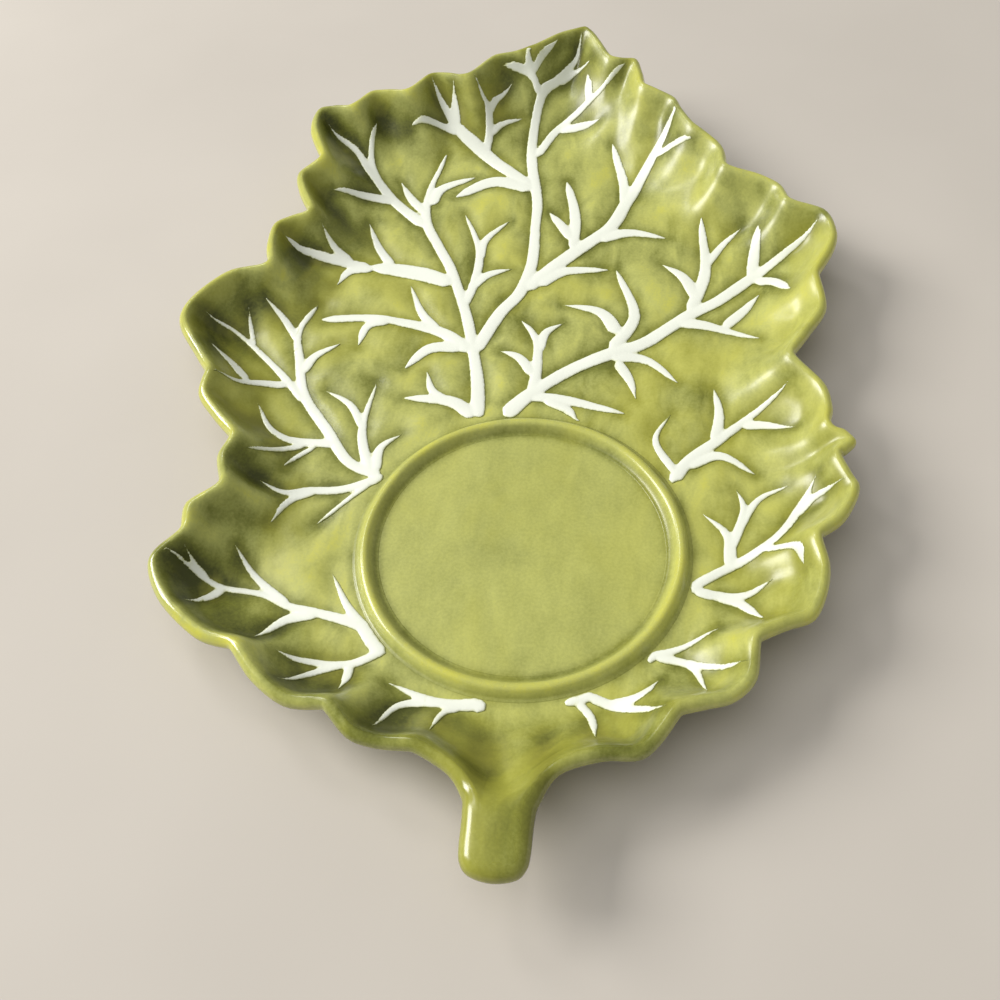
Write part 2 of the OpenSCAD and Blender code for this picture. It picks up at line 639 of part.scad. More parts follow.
module vein_bottom_left() {
    vein_spray(vein_bottom_left_shares);
}

module vein_bottom_right() {
    vein_spray(vein_bottom_right_shares);
}

module vein_right_lower() {
    vein_spray(vein_right_lower_shares);
}

module vein_right_mid() {
    vein_spray(vein_right_mid_shares);
}

module vein_right_high() {
    vein_spray(vein_right_high_shares);
}

leaf_body();
stem_handle();
dip_ring();
foot_ring();
vein_centre();
vein_right_upper();
vein_left_upper();
vein_left_lower();
vein_bottom_left();
vein_bottom_right();
vein_right_lower();
vein_right_mid();
vein_right_high();
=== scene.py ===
import logging
import math
from dataclasses import dataclass
from enum import Enum
from typing import Callable, Iterable, Sequence, Union

import bmesh
import bpy
import numpy as np
from mathutils import Matrix, Vector, kdtree, noise

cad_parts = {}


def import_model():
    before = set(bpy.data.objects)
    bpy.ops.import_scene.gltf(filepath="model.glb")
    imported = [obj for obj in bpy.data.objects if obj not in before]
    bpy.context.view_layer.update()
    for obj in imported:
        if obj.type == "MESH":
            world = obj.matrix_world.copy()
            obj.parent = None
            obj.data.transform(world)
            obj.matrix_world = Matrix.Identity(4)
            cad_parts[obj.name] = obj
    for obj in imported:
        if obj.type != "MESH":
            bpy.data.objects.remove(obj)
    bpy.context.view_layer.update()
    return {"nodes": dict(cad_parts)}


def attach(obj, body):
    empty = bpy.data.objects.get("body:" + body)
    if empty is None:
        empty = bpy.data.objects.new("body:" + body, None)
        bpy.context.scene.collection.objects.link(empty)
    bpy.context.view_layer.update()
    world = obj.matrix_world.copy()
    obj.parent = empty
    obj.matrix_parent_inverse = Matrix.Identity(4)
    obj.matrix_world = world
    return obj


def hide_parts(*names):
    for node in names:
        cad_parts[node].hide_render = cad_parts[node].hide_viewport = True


MM = 0.001
TURN = 2 * math.pi
TINY = 1e-6
log = logging.getLogger("leaf_plate")

Colour = tuple[int, int, int]
Place = tuple[float, float, float]
Stroke = Sequence[Place]
Socket = bpy.types.NodeSocket
Value = Union[Socket, float]


class Slot(Enum):
    """The record's finish names, passed with each made piece but not used."""

    GLAZE = "leaf_glaze"
    ENAMEL = "white_enamel"


class Fold(Enum):
    """What the rim does at a knot, as a share of the way from a lobe's crest to a fold."""

    CREST = 0.0
    SIDE = 0.4
    NOTCH = 0.6
    VALLEY = 1.0


# The rim, as shares of the half width and the half length: the letters are crest, side,
# notch and valley. The first list runs from the tip down the left side to the stem, and
# the second from the stem up the right side to the tip.
LEFT_RIM = """
c .14 1, s .05 .97, v -.03 .92, s -.1 .9, c -.182 .886, v -.255 .808, s -.326 .82,
c -.402 .815, v -.458 .75, s -.524 .755, c -.6 .747, v -.647 .69, s -.706 .693,
c -.771 .676, s -.774 .6, v -.71 .5, c -.774 .452, s -.749 .385, v -.699 .32, s -.746 .308,
c -.804 .278, s -.802 .205, v -.78 .145, s -.888 .126, s -.965 .061, c -1 .005,
s -.983 -.051, s -.905 -.126, v -.853 -.177, c -.853 -.231, s -.788 -.288, v -.717 -.34,
c -.737 -.385, v -.704 -.451, s -.776 -.498, v -.765 -.557, s -.817 -.602, c -.818 -.644,
s -.754 -.709, c -.642 -.767, v -.548 -.785, s -.477 -.838, c -.386 -.876, v -.29 -.88,
s -.224 -.922, c -.159 -.934, v -.069 -.938, s .016 -.966
"""
RIGHT_RIM = """
s .265 -.953, s .36 -.926, c .441 -.918, s .486 -.89, v .531 -.842, s .592 -.825,
c .651 -.809, s .701 -.77, v .714 -.703, s .782 -.673, c .845 -.65, s .878 -.598,
s .889 -.544, v .875 -.491, s .938 -.448, c .982 -.38, s .966 -.345, n .945 -.306,
s .962 -.294, c .986 -.271, s .96 -.244, n .927 -.232, c .935 -.186, s .917 -.128,
v .841 -.062, s .893 .007, c .947 .084, v .932 .171, s .985 .254, c 1 .316, s .966 .378,
v .864 .4, c .837 .456, s .758 .49, v .668 .507, c .65 .583, v .56 .644, s .516 .704,
c .483 .751, v .388 .782, s .372 .836, c .345 .883, v .266 .879, s .222 .937, s .182 .985
"""

# The strokes of each white spray. A point is a share of the half width, a share of the half
# length and the width of the stroke there in millimetres. A comma ends a point, a semicolon
# a stroke.
SPRAY_TEXTS = {
    "centre": """
-.055 -.2 4.8, -.07 -.105 4.2, -.1 -.01 3.7, -.145 .105 3.7, -.215 .235 3.6, -.27 .31 3.6,
-.335 .405 3.6, -.345 .525 2.5, -.31 .645 1.4; -.335 .385 4.6, -.46 .47 4, -.565 .56 3.5,
-.625 .61 2.2, -.73 .65 .9; -.52 .52 2.7, -.57 .595 1.9, -.565 .685 1; -.455 .475 4.6,
-.545 .47 2.9, -.66 .445 1.2; -.33 .465 4.3, -.305 .525 3.1, -.195 .57 1.9; -.34 .43 3.6,
-.405 .485 2.4, -.455 .545 1.1; -.205 .195 5.2, -.335 .225 5, -.49 .24 4.8; -.49 .24 3.4,
-.62 .245 2.4, -.775 .26 1.3; -.415 .245 3.4, -.475 .305 2.2, -.525 .38 1; -.55 .25 2.7,
-.61 .27 1.9, -.655 .305 1; -.475 .235 3.8, -.55 .22 2.6, -.58 .175 1.5; -.11 -.01 5,
-.22 .045 4.2, -.365 .07 3.4, -.46 .075 3.4, -.6 .065 3.4; -.22 .045 3.5, -.285 .1 2.2,
-.34 .185 .9; -.38 .07 3.5, -.445 .05 2.5, -.46 -.01 1.6; -.135 0 4.4, -.235 -.01 3.2,
-.3 -.07 2; -.065 -.19 4.6, -.145 -.155 3.3, -.285 -.15 2.1; -.135 -.16 3, -.2 -.13 2.1,
-.23 -.075 1.2; -.155 .125 3.5, -.135 .19 3.2, -.13 .28 2.9, -.155 .35 2.1, -.205 .43 1.3;
-.13 .275 3.4, -.12 .345 2.2, -.05 .415 1.1; -.145 .18 3.8, -.095 .225 2.5, -.015 .25 1.3;
-.095 -.015 4.4, -.035 .105 4.4, .02 .175 4.4, .045 .275 4, .04 .4 3.5, .035 .49 3.8, 0 .625 4,
-.01 .73 3.5, .01 .825 3.1, .065 .875 2.7, .105 .915 2.2, .13 .94 1.8, .143 .975 1.3;
.065 .87 2.6, .12 .905 1.8, .185 .905 1.1; .005 .825 2.7, -.035 .86 2, -.135 .865 1.2;
-.03 .85 2.9, -.042 .88 2.2, -.05 .925 1.4; -.025 .86 2, .01 .9 1.4, .06 .945 .8; .005 .545 5,
-.115 .62 5, -.2 .67 5, -.25 .695 4.1, -.29 .72 3.2, -.335 .76 2.2, -.39 .805 1.2;
-.28 .715 3.1, -.295 .755 2.2, -.3 .79 1.4; -.27 .705 2.7, -.345 .715 2.2, -.44 .685 1.7;
-.17 .655 3, -.165 .715 2.9, -.175 .765 2.7, -.195 .78 2, -.235 .805 1.2; -.17 .755 2.2,
-.15 .8 1.5, -.095 .845 .8; -.16 .705 2.4, -.12 .745 1.6, -.05 .775 .9; .01 .535 5.3,
-.125 .555 4.2, -.25 .495 3.2; .01 .66 3.5, .07 .75 3.1, .17 .805 2.8, .235 .825 1.9, .31 .86 1;
.185 .81 2.7, .18 .84 2.3, .172 .88 1.7; .085 .755 3.3, .16 .755 2.6, .23 .76 1.9;
.035 .185 5.1, .12 .26 5.1, .21 .335 5.1, .295 .405 4.8, .345 .5 4.5, .405 .6 3.9,
.455 .665 3.2, .48 .69 2.3, .505 .71 1.4; .435 .625 2.9, .48 .625 2, .55 .605 1.1;
.335 .485 3.5, .325 .57 2.7, .28 .685 1.9; .255 .36 4.8, .36 .385 3.1, .48 .37 1.4;
.175 .32 3.6, .17 .44 3, .13 .565 2.3; .17 .355 3.6, .12 .41 2.7, .08 .45 1.7; .075 .2 4.5,
.155 .245 3.1, .295 .255 1.8
""",
    "right_upper": """
.02 -.19 5.9, .07 -.14 5.1, .13 -.095 4.3, .215 -.045 4.5, .325 0 4.8, .42 .035 4.6,
.55 .12 4.4, .645 .17 4.2, .75 .245 4.1, .855 .31 2.5, .955 .355 1; .095 -.125 4, .1 -.06 3.5,
.095 .015 2.9, .07 .055 2.1, .035 .085 1.3; .1 -.005 3.4, .115 .05 2.2, .17 .085 1;
.09 -.07 3.4, .045 -.025 2.4, -.02 -.005 1.4; .09 -.13 3.7, .195 -.135 2.8, .37 -.165 1.8;
.135 -.135 3.9, .2 -.16 2.6, .24 -.195 1.3; .32 .01 4.1, .385 .115 2.9, .32 .255 1.8;
.335 .06 4.6, .28 .12 2.9, .16 .14 1.2; .315 -.01 3.8, .425 -.015 2.6, .52 -.075 1.5;
.34 -.025 3.6, .38 -.075 2.2, .4 -.125 .9; .555 .13 3.9, .605 .265 3, .59 .42 2.1; .58 .175 4.4,
.535 .24 2.8, .465 .28 1.1; .605 .28 2.7, .66 .35 1.9, .72 .395 1; .515 .1 4.5, .615 .09 2.9,
.765 .055 1.2; .66 .09 3.4, .72 .14 2.4, .77 .19 1.3; .75 .235 3.6, .76 .32 2.7, .77 .385 1.8;
.76 .235 3.9, .82 .225 2.8, .855 .17 1.6
""",
    "left_upper": """
-.29 -.355 3.5, -.4 -.325 3.5, -.495 -.24 3.5, -.585 -.155 3.3, -.63 -.06 3.1, -.66 .025 2.4,
-.62 .105 1.6; -.655 0 2.7, -.71 .05 1.8, -.78 .09 .9; -.61 -.095 3.5, -.585 -.045 2.4,
-.515 -.005 1.2; -.575 -.175 3.2, -.69 -.09 2.5, -.8 -.02 1.9, -.865 .01 1.4, -.94 .02 1;
-.785 -.03 1.8, -.815 .03 1.2, -.83 .07 .6; -.645 -.13 2.9, -.735 -.14 2, -.83 -.18 1.2;
-.76 -.14 2.7, -.82 -.1 1.8, -.895 -.06 .8; -.445 -.28 3.4, -.555 -.28 3, -.61 -.275 2.6,
-.66 -.25 1.8, -.71 -.195 .9; -.54 -.285 2.4, -.595 -.31 1.7, -.67 -.355 1; -.51 -.29 1.8,
-.545 -.315 1.4, -.58 -.355 .9; -.335 -.35 3.4, -.385 -.24 2.1, -.375 -.11 .8; -.385 -.235 2.7,
-.44 -.175 1.8, -.525 -.14 .9; -.32 -.345 3.4, -.32 -.285 2.1, -.265 -.245 .9; -.285 -.355 3,
-.395 -.39 2.9, -.495 -.4 2.7, -.565 -.41 1.9, -.63 -.395 1; -.475 -.4 2.7, -.535 -.425 1.8,
-.57 -.485 .9; -.32 -.37 1.6, -.38 -.415 1.3, -.45 -.475 1
""",
    "left_lower": """
-.18 -.725 3.9, -.27 -.685 3.3, -.385 -.665 2.8, -.47 -.655 2.4, -.545 -.635 2, -.645 -.63 1.9,
-.695 -.62 1.7, -.75 -.605 1.2, -.805 -.6 .7; -.2 -.72 3.2, -.3 -.66 2, -.375 -.58 .7;
-.465 -.655 2.5, -.575 -.6 1.6, -.645 -.545 .8; -.69 -.62 1.9, -.72 -.605 1.4, -.745 -.585 1;
-.65 -.63 2.9, -.675 -.66 2, -.71 -.69 1.2; -.385 -.665 3.2, -.465 -.685 2.2, -.52 -.735 1.3;
-.19 -.725 2.7, -.275 -.76 2.4, -.375 -.765 2.1, -.42 -.765 1.5, -.455 -.76 .9; -.285 -.76 2.2,
-.355 -.785 1.6, -.42 -.825 1; -.275 -.76 2.5, -.275 -.79 1.8, -.285 -.82 1
""",
    "bottom_left": """
.075 -.815 3.6, -.035 -.82 2.2, -.175 -.79 .8; -.01 -.82 2.3, -.13 -.83 1.6, -.18 -.89 .9;
.015 -.825 2.1, -.025 -.84 1.5, -.045 -.89 .8
""",
    "bottom_right": """
.26 -.8 2.3, .3 -.785 2.5, .37 -.8 2.8, .44 -.815 2.1, .495 -.83 1.4; .36 -.8 2.6,
.44 -.785 1.8, .485 -.75 .9; .285 -.795 2.1, .325 -.825 1.8, .34 -.87 1.4
""",
    "right_lower": """
.44 -.705 2.1, .52 -.69 1.5, .63 -.65 .8; .475 -.705 2.4, .56 -.72 1.7, .595 -.78 1; .54 -.71 2,
.6 -.725 1.5, .69 -.745 1
""",
    "right_mid": """
.545 -.57 2.9, .635 -.525 2.8, .725 -.485 2.7, .79 -.445 2.5, .845 -.38 2.4, .865 -.355 1.6,
.885 -.325 .8; .83 -.4 2.4, .88 -.365 1.6, .95 -.36 .8; .66 -.515 3.5, .655 -.445 2.1,
.59 -.4 .8; .66 -.48 2.8, .7 -.39 1.8, .68 -.335 .8; .68 -.44 2.2, .74 -.36 1.5, .825 -.33 .8;
.74 -.48 2, .81 -.495 1.6, .83 -.535 1.1; .56 -.57 3.1, .68 -.575 2, .765 -.54 .9;
.62 -.575 3.2, .68 -.59 2.4, .735 -.63 1.6
""",
    "right_high": """
.505 -.335 4, .555 -.275 3.7, .63 -.225 3.4, .725 -.16 2.3, .825 -.11 1.2; .52 -.31 2.7,
.46 -.23 1.6, .505 -.155 .5; .625 -.225 3.3, .64 -.155 2.3, .625 -.085 1.4; .705 -.18 3.3,
.765 -.18 2.1, .845 -.195 1; .55 -.29 3.4, .64 -.26 2.4, .735 -.3 1.4
""",
}


# One side of the stem, from the leaf to its end, as shares of its half width and its length.
STEM_SIDE = [(1.04, 0.0), (0.955, 0.2), (0.935, 0.42), (0.925, 0.62), (0.86, 0.8), (0.6, 0.94)]


def strokes_of(text: str) -> list[Stroke]:
    """Reads the strokes of one spray."""
    return [
        [tuple(float(word) for word in point.split()) for point in stroke.split(",")]
        for stroke in text.split(";")
    ]


SPRAYS = {name: strokes_of(text) for name, text in SPRAY_TEXTS.items()}


def ease(value: np.ndarray) -> np.ndarray:
    """A smooth step from 0 to 1."""
    held = np.clip(value, 0.0, 1.0)
    return held * held * (3.0 - 2.0 * held)


def bell(away: np.ndarray, width: float) -> np.ndarray:
    """1 at no distance, falling off softly over a width."""
    return np.exp(-((away / width) ** 2))


def smooth_path(
    points: np.ndarray, steps: int, closed: bool, pull: np.ndarray | None = None
) -> np.ndarray:
    """Runs a smooth curve through a row of points.

    Args:
        points: the points, one per row.
        steps: how many points to lay on each span.
        closed: whether the last point runs on to the first.
        pull: how strongly the curve keeps its way through each point, 1 where not given.

    Returns:
        The points of the curve.
    """
    if closed:
        ways = (np.roll(points, -1, 0) - np.roll(points, 1, 0)) / 2
        ends = np.roll(points, -1, 0)
    else:
        ways = np.gradient(points, axis=0)
        ends = points[1:]
    if pull is not None:
        ways = ways * pull[:, None]
    count = len(ends)
    end_ways = np.roll(ways, -1, 0)[:count]
    laid = []
    for share in np.arange(steps) / steps:
        turn = share * share * (3 - 2 * share)
        laid.append(
            points[:count] * (1 - turn) + ends * turn
            + ways[:count] * share * (1 - share) ** 2 - end_ways * share ** 2 * (1 - share)
        )
    path = np.stack(laid, 1).reshape(-1, points.shape[1])
    return path if closed else np.vstack([path, points[-1:]])


class Grid:
    """An even grid over the plan, with numbers kept on it and read between its points."""

    shy = 0.001

    def __init__(self, low: tuple[float, float], high: tuple[float, float], pitch: float) -> None:
        """Lays the grid.

        Args:
            low: the corner with the lowest across and along, in millimetres.
            high: the opposite corner.
            pitch: the distance between neighbours.
        """
        self.low = np.array(low)
        self.pitch = pitch
        self.across = int(math.ceil((high[0] - low[0]) / pitch)) + 1
        self.along = int(math.ceil((high[1] - low[1]) / pitch)) + 1
        x, y = np.meshgrid(np.arange(self.across), np.arange(self.along))
        self.plan = np.column_stack([x.ravel(), y.ravel()]) * pitch + self.low

    def blur(self, values: np.ndarray, reach: float) -> np.ndarray:
        """Softens values over the grid.

        Args:
            values: one number per grid point.
            reach: how far the softening reaches, in millimetres.

        Returns:
            The softened numbers.
        """
        sheet = values.reshape(self.along, self.across)
        sigma = reach / self.pitch
        half = int(math.ceil(3 * sigma))
        weights = np.exp(-0.5 * (np.arange(-half, half + 1) / sigma) ** 2)
        weights /= weights.sum()
        for axis in (0, 1):
            wide = np.pad(sheet, [(half, half) if a == axis else (0, 0) for a in (0, 1)], "edge")
            count = sheet.shape[axis]
            sheet = sum(
                w * np.take(wide, np.arange(i, i + count), axis) for i, w in enumerate(weights)
            )
        return sheet.ravel()

    def read(self, values: np.ndarray, plan: np.ndarray) -> np.ndarray:
        """Reads values between the grid points.

        Args:
            values: one number per grid point.
            plan: the plan points to read at, in millimetres.

        Returns:
            One number per plan point.
        """
        sheet = values.reshape(self.along, self.across)
        spot = (plan - self.low) / self.pitch
        x = np.clip(spot[:, 0], 0, self.across - 1 - self.shy)
        y = np.clip(spot[:, 1], 0, self.along - 1 - self.shy)
        i, j = x.astype(int), y.astype(int)
        x, y = x - i, y - j
        near = sheet[j, i] * (1 - x) + sheet[j, i + 1] * x
        far = sheet[j + 1, i] * (1 - x) + sheet[j + 1, i + 1] * x
        return near * (1 - y) + far * y


@dataclass(frozen=True)
class LeafSizes:
    """Sizes of the plate in millimetres. Its main ones are those of the CAD source."""

    leaf_l: float = 276.0
    leaf_w: float = 191.0
    side_h: float = 19.5
    tip_h: float = 29.0
    fold_h: float = 0.4
    fold_in: float = 14.0
    scoop_h: float = 3.2
    scoop_w: float = 20.0
    scoop_round: float = 1.2
    wall_t: float = 5.0
    foot_h: float = 2.0
    bank_w: float = 20.0
    tip_bank_w: float = 46.0
    lobe_curve: float = 2.35
    fold_curve: float = 1.7
    corner: float = 0.35
    bank_thicken: float = 0.25
    lip_in: float = 2.1
    lip_drop: float = 2.2
    lip_w: float = 4.4
    stem_x: float = 13.5
    stem_w: float = 16.0
    stem_l: float = 17.0
    stem_lip_in: float = 3.6
    stem_drop: float = 3.1
    stem_crown: float = 0.7
    well_x: float = 11.0
    well_up: float = 69.4
    ring_in_r: float = 37.0
    ring_w: float = 5.8
    ring_h: float = 2.4
    vein_edge: float = 2.8
    vein_gap: float = 0.9
    vein_gap_share: float = 0.3
    ring_apron: float = 3.5
    apron_fade: float = 4.0
    pad_h: float = 0.8
    pad_reach: float = 3.8
    groove: float = 0.25
    groove_w: float = 1.4
    pucker: float = 0.35
    pucker_w: float = 14.0
    crimp_w: float = 6.0
    crimp_share: float = 0.4
    hold_in: float = 3.0
    hold_fade: float = 7.0
    stem_in: float = 8.0
    stem_fade: float = 11.0

    @property
    def floor_z(self) -> float:
        """Height of the glazed floor above the table."""
        return self.foot_h + self.wall_t

    @property
    def shift(self) -> float:
        """How far the middle of the leaf lies towards the tip from the origin."""
        return self.stem_l / 2

    @property
    def root_y(self) -> float:
        """Where the stem leaves the leaf."""
        return self.shift - self.leaf_l / 2

    @property
    def well(self) -> np.ndarray:
        """The middle of the dip well."""
        return np.array([self.well_x, self.root_y + self.well_up])

    @property
    def ring_out_r(self) -> float:
        """Radius of the ring at its outer foot."""
        return self.ring_in_r + self.ring_w


@dataclass(frozen=True)
class RootFolds:
    """The ridge at the root of the stem and the cuts beside it, in millimetres from the root."""

    height: float = 1.0
    cut: float = 1.0
    reach: float = 22.0
    reach_fade: float = 6.0
    down: float = 2.0
    down_fade: float = 7.0
    ridge_x: float = 2.0
    ridge_w: float = 3.8
    right_x: float = 8.5
    right_w: float = 2.3
    left_x: float = 5.5
    left_w: float = 3.0
    left_share: float = 0.8
    rim_fade: float = 4.0


@dataclass(frozen=True)
class GlazeDepthAndShade:
    """How deep the glaze lies, with painted shade added, as shares of its full depth, and its
    reaches in millimetres.
    """

    plain: float = 0.36
    # Beside the veins: glaze pooling and painted shade.
    by_vein: float = 0.27
    # Hollows inside the lip: glaze pooling and painted shade.
    in_hollow: float = 1.0
    off_lip: float = 0.2
    # Painted shade: darker over the root and the stem.
    root_shade: float = 0.42
    # At the ring's feet: glaze pooling and a painted shade line.
    at_ring: float = 0.3
    off_ridge: float = 0.22
    # In the cuts beside the root ridge: glaze pooling and painted shade.
    in_cuts: float = 0.24
    vein_w: float = 1.7
    vein_wide_w: float = 5.0
    vein_wide_share: float = 0.35
    hollow_fold: float = 0.68
    # Painted shade: hollows on the left side darker, away from the key light.
    side_shade_middle: float = 0.62
    side_shade_run: float = 110.0
    side_shade_low: float = 0.3
    side_shade_high: float = 1.15
    lip_w: float = 4.5
    root_shade_from: float = 30.0
    root_shade_run: float = 22.0
    inner_foot_w: float = 1.3
    outer_foot_w: float = 1.2
    outer_foot_share: float = 0.7
    bright_w: float = 5.5
    bright_stem: float = 0.35
    stem_dulls: float = 0.6


@dataclass(frozen=True)
class Fineness:
    """How finely the shape is worked out, in counts, in shares and in millimetres."""

    rim_steps: int = 6
    rim_look_steps: int = 24
    vein_look_steps: int = 8
    margin: float = 4.0
    pitch: float = 0.8
    fold_marks: int = 34
    fold_crowding: float = 1.2
    fold_reach: float = 0.9
    fold_blur: float = 1.3
    top_blur: float = 1.1
    under_blur: float = 2.0
    lip_rounds: int = 3
    batch: int = 4000
    spine_half: int = 20
    spine_up: float = 0.5
    spine_down: float = 0.1


class LeafShape:
    """The leaf's outline, and the heights of its glazed top and of its underside."""

    def __init__(self, sizes: LeafSizes) -> None:
        """Lays out the rim and works the heights out over a grid.

        Args:
            sizes: the plate's sizes.
        """
        self.sizes = sizes
        self.root, self.flow, self.fine = RootFolds(), GlazeDepthAndShade(), Fineness()
        fine = self.fine
        knots, folds = self._knots()
        pull = np.where(folds == Fold.VALLEY.value, sizes.corner, 1.0)
        level = np.zeros(len(folds))
        self.rim = smooth_path(knots, fine.rim_steps, True, pull)
        self.rim_folds = smooth_path(folds[:, None], fine.rim_steps, True, level)[:, 0]
        self._rim_points = smooth_path(knots, fine.rim_look_steps, True, pull)
        self._rim_tree = self._tree(self._rim_points)
        strokes = [stroke for rows in SPRAYS.values() for stroke in rows]
        paths = np.vstack([self.stroke_path(s, fine.vein_look_steps) for s in strokes])
        self._vein_tree, self._vein_widths = self._tree(paths[:, :2]), paths[:, 2]
        half_w = sizes.leaf_w / 2
        self.grid = Grid(
            (-half_w - fine.margin, sizes.root_y - sizes.stem_l - fine.margin),
            (half_w + fine.margin, sizes.shift + sizes.leaf_l / 2 + fine.margin),
            fine.pitch,
        )
        self._work_out()

    def _knots(self) -> tuple[np.ndarray, np.ndarray]:
        """Reads the two rim lists and sets the stem between them.

        Returns:
            The knots in millimetres and the fold share at each.
        """
        s = self.sizes
        kinds = {"c": Fold.CREST, "s": Fold.SIDE, "n": Fold.NOTCH, "v": Fold.VALLEY}
        places: list[tuple[float, float]] = []
        folds: list[float] = []

        def add(text: str) -> None:
            """Adds the knots of one list."""
            for word in text.replace("\n", " ").split(","):
                kind, across, along = word.split()
                place = (float(across) * s.leaf_w / 2, s.shift + float(along) * s.leaf_l / 2)
                places.append(place)
                folds.append(kinds[kind].value)

        def add_stem(side: float, along: Iterable[tuple[float, float]]) -> None:
            """Adds one side of the stem, as shares of its half width and its length."""
            for wide, down in along:
                places.append((s.stem_x + side * wide * s.stem_w / 2, s.root_y - down * s.stem_l))
                folds.append(Fold.SIDE.value)

        add(LEFT_RIM)
        add_stem(-1.0, STEM_SIDE)
        add_stem(0.0, [(0.0, 1.0)])
        add_stem(1.0, STEM_SIDE[::-1])
        add(RIGHT_RIM)
        return np.array(places), np.array(folds)

    @staticmethod
    def _tree(points: np.ndarray) -> kdtree.KDTree:
        """Makes a lookup of the nearest of some plan points."""
        tree = kdtree.KDTree(len(points))
        for i, point in enumerate(points):
            tree.insert((point[0], point[1], 0.0), i)
        tree.balance()
        return tree

    @staticmethod
    def _nearest(tree: kdtree.KDTree, plan: np.ndarray) -> tuple[np.ndarray, np.ndarray]:
        """Which point of a lookup is nearest to each plan point, and how far off it is."""
        found = [tree.find((x, y, 0.0))[1:] for x, y in plan]
        return np.array([f[0] for f in found]), np.array([f[1] for f in found])

    def stroke_path(self, stroke: Stroke, steps: int) -> np.ndarray:
        """Lays a smooth path along a stroke of the white veins.

        Args:
            stroke: the stroke's points.
            steps: points laid between two of them.

        Returns:
            Rows of across, along and width, in millimetres, clear of the ring.
        """
        s = self.sizes
        rows = np.array(stroke, float) * (s.leaf_w / 2, s.leaf_l / 2, 1.0) + (0.0, s.shift, 0.0)
        path = smooth_path(rows, steps, False)
        away = path[:, :2] - s.well
        far = np.linalg.norm(away, axis=1)
        least = np.maximum(far, s.ring_out_r + s.vein_gap + path[:, 2] * s.vein_gap_share)
        path[:, :2] = s.well + away * (least / far)[:, None]
        for _ in range(self.fine.lip_rounds):
            path[:, :2] += self._off_lip(path[:, :2])
        return path

    def _off_lip(self, plan: np.ndarray) -> np.ndarray:
        """How far each plan point must move to lie clear inside the rolled lip."""
        beside, gap = self._nearest(self._rim_tree, plan)
        inward = np.where(self._inside(plan), 1.0, -1.0)
        away = (plan - self._rim_points[beside]) * inward[:, None]
        short = np.maximum(self.sizes.vein_edge - gap * inward, 0.0)
        return away / np.maximum(gap, TINY)[:, None] * short[:, None]

    def _inside(self, plan: np.ndarray) -> np.ndarray:
        """Whether each plan point lies inside the outline."""
        x1, y1 = self.rim.T
        x2, y2 = np.roll(self.rim, -1, 0).T
        run = np.where(y2 == y1, TINY, y2 - y1)
        inside = np.empty(len(plan), bool)
        for first in range(0, len(plan), self.fine.batch):
            part = slice(first, first + self.fine.batch)
            x, y = plan[part, None].transpose(2, 0, 1)
            crosses = ((y1 > y) != (y2 > y)) & (x < (x2 - x1) * (y - y1) / run + x1)
            inside[part] = crosses.sum(1) % 2 == 1
        return inside

    def _fold_field(self) -> np.ndarray:
        """How much each grid point lies on a fold that runs in from the rim, from 0 to 1."""
        spine, fine = self.spine(self.rim), self.fine
        shares = np.linspace(0.0, 1.0, fine.fold_marks) ** fine.fold_crowding * fine.fold_reach
        lines = self.rim[:, None] + (spine - self.rim)[:, None] * shares[None, :, None]
        which, _ = self._nearest(self._tree(lines.reshape(-1, 2)), self.grid.plan)
        return self.grid.blur(self.rim_folds[which // len(shares)], fine.fold_blur)

    def _work_out(self) -> None:
        """Works out the heights, and the glaze's depth with painted shade added, over the grid."""
        s, plan = self.sizes, self.grid.plan
        rim = self._nearest(self._rim_tree, plan)[1] * np.where(self._inside(plan), 1.0, -1.0)
        beside, vein = self._nearest(self._vein_tree, plan)
        vein = np.maximum(vein - self._vein_widths[beside] / 2, 0.0)
        near = bell(np.maximum(rim, 0.0), s.fold_in)
        fold = Fold.SIDE.value + (self._fold_field() - Fold.SIDE.value) * near
        up = self._bank_share(plan, rim)
        stem = self.stem_share(plan)
        base = self._base(plan, rim, fold, up, stem)
        relief = self._relief(plan, rim, vein, stem)
        self._top = self.grid.blur(base + relief, self.fine.top_blur)
        thick = s.wall_t * (1.0 + s.bank_thicken * np.clip((base - s.floor_z) / s.side_h, 0.0, 1.0))
        stem_thick = 2.0 * (s.stem_drop + s.stem_crown)
        under = base - thick * (1.0 - stem) - stem_thick * stem
        self._under = self.grid.blur(under, self.fine.under_blur)
        self._pour_and_shade(rim, vein, fold, stem)

    def _pour_and_shade(
        self, rim: np.ndarray, vein: np.ndarray, fold: np.ndarray, stem: np.ndarray
    ) -> None:
        """Works out where the glaze gathers, where painted shade darkens it, and where it shines.

        Args:
            rim: how far inside the outline each grid point is.
            vein: how far each is from the edge of a vein.
            fold: how much each lies on a fold.
            stem: how much each belongs to the stem.
        """
        s, f, plan = self.sizes, self.flow, self.grid.plan
        within = np.maximum(rim, 0.0)
        blade = ease(self.off_ring(plan)) * (1.0 - stem)
        # A dark band beside the veins: glaze pooling and painted shade.
        groove = blade * (bell(vein, f.vein_w) + f.vein_wide_share * bell(vein, f.vein_wide_w))
        # Painted shade: hollows grow darker towards the left side, away from the key light.
        side_shade = np.clip(f.side_shade_middle - plan[:, 0] / f.side_shade_run, f.side_shade_low, f.side_shade_high)
        hollow = self._scoop_share(rim) * (f.hollow_fold - fold) * (1.0 - stem) * side_shade
        lip = ease(1.0 - within / f.lip_w) * (1.0 - stem)
        # Painted shade over the root and the stem.
        root = ease((s.root_y + f.root_shade_from - plan[:, 1]) / f.root_shade_run)
        # The cuts are darkened by glaze pooling and painted shade.
        ridge, cuts = self._root_folds(plan)
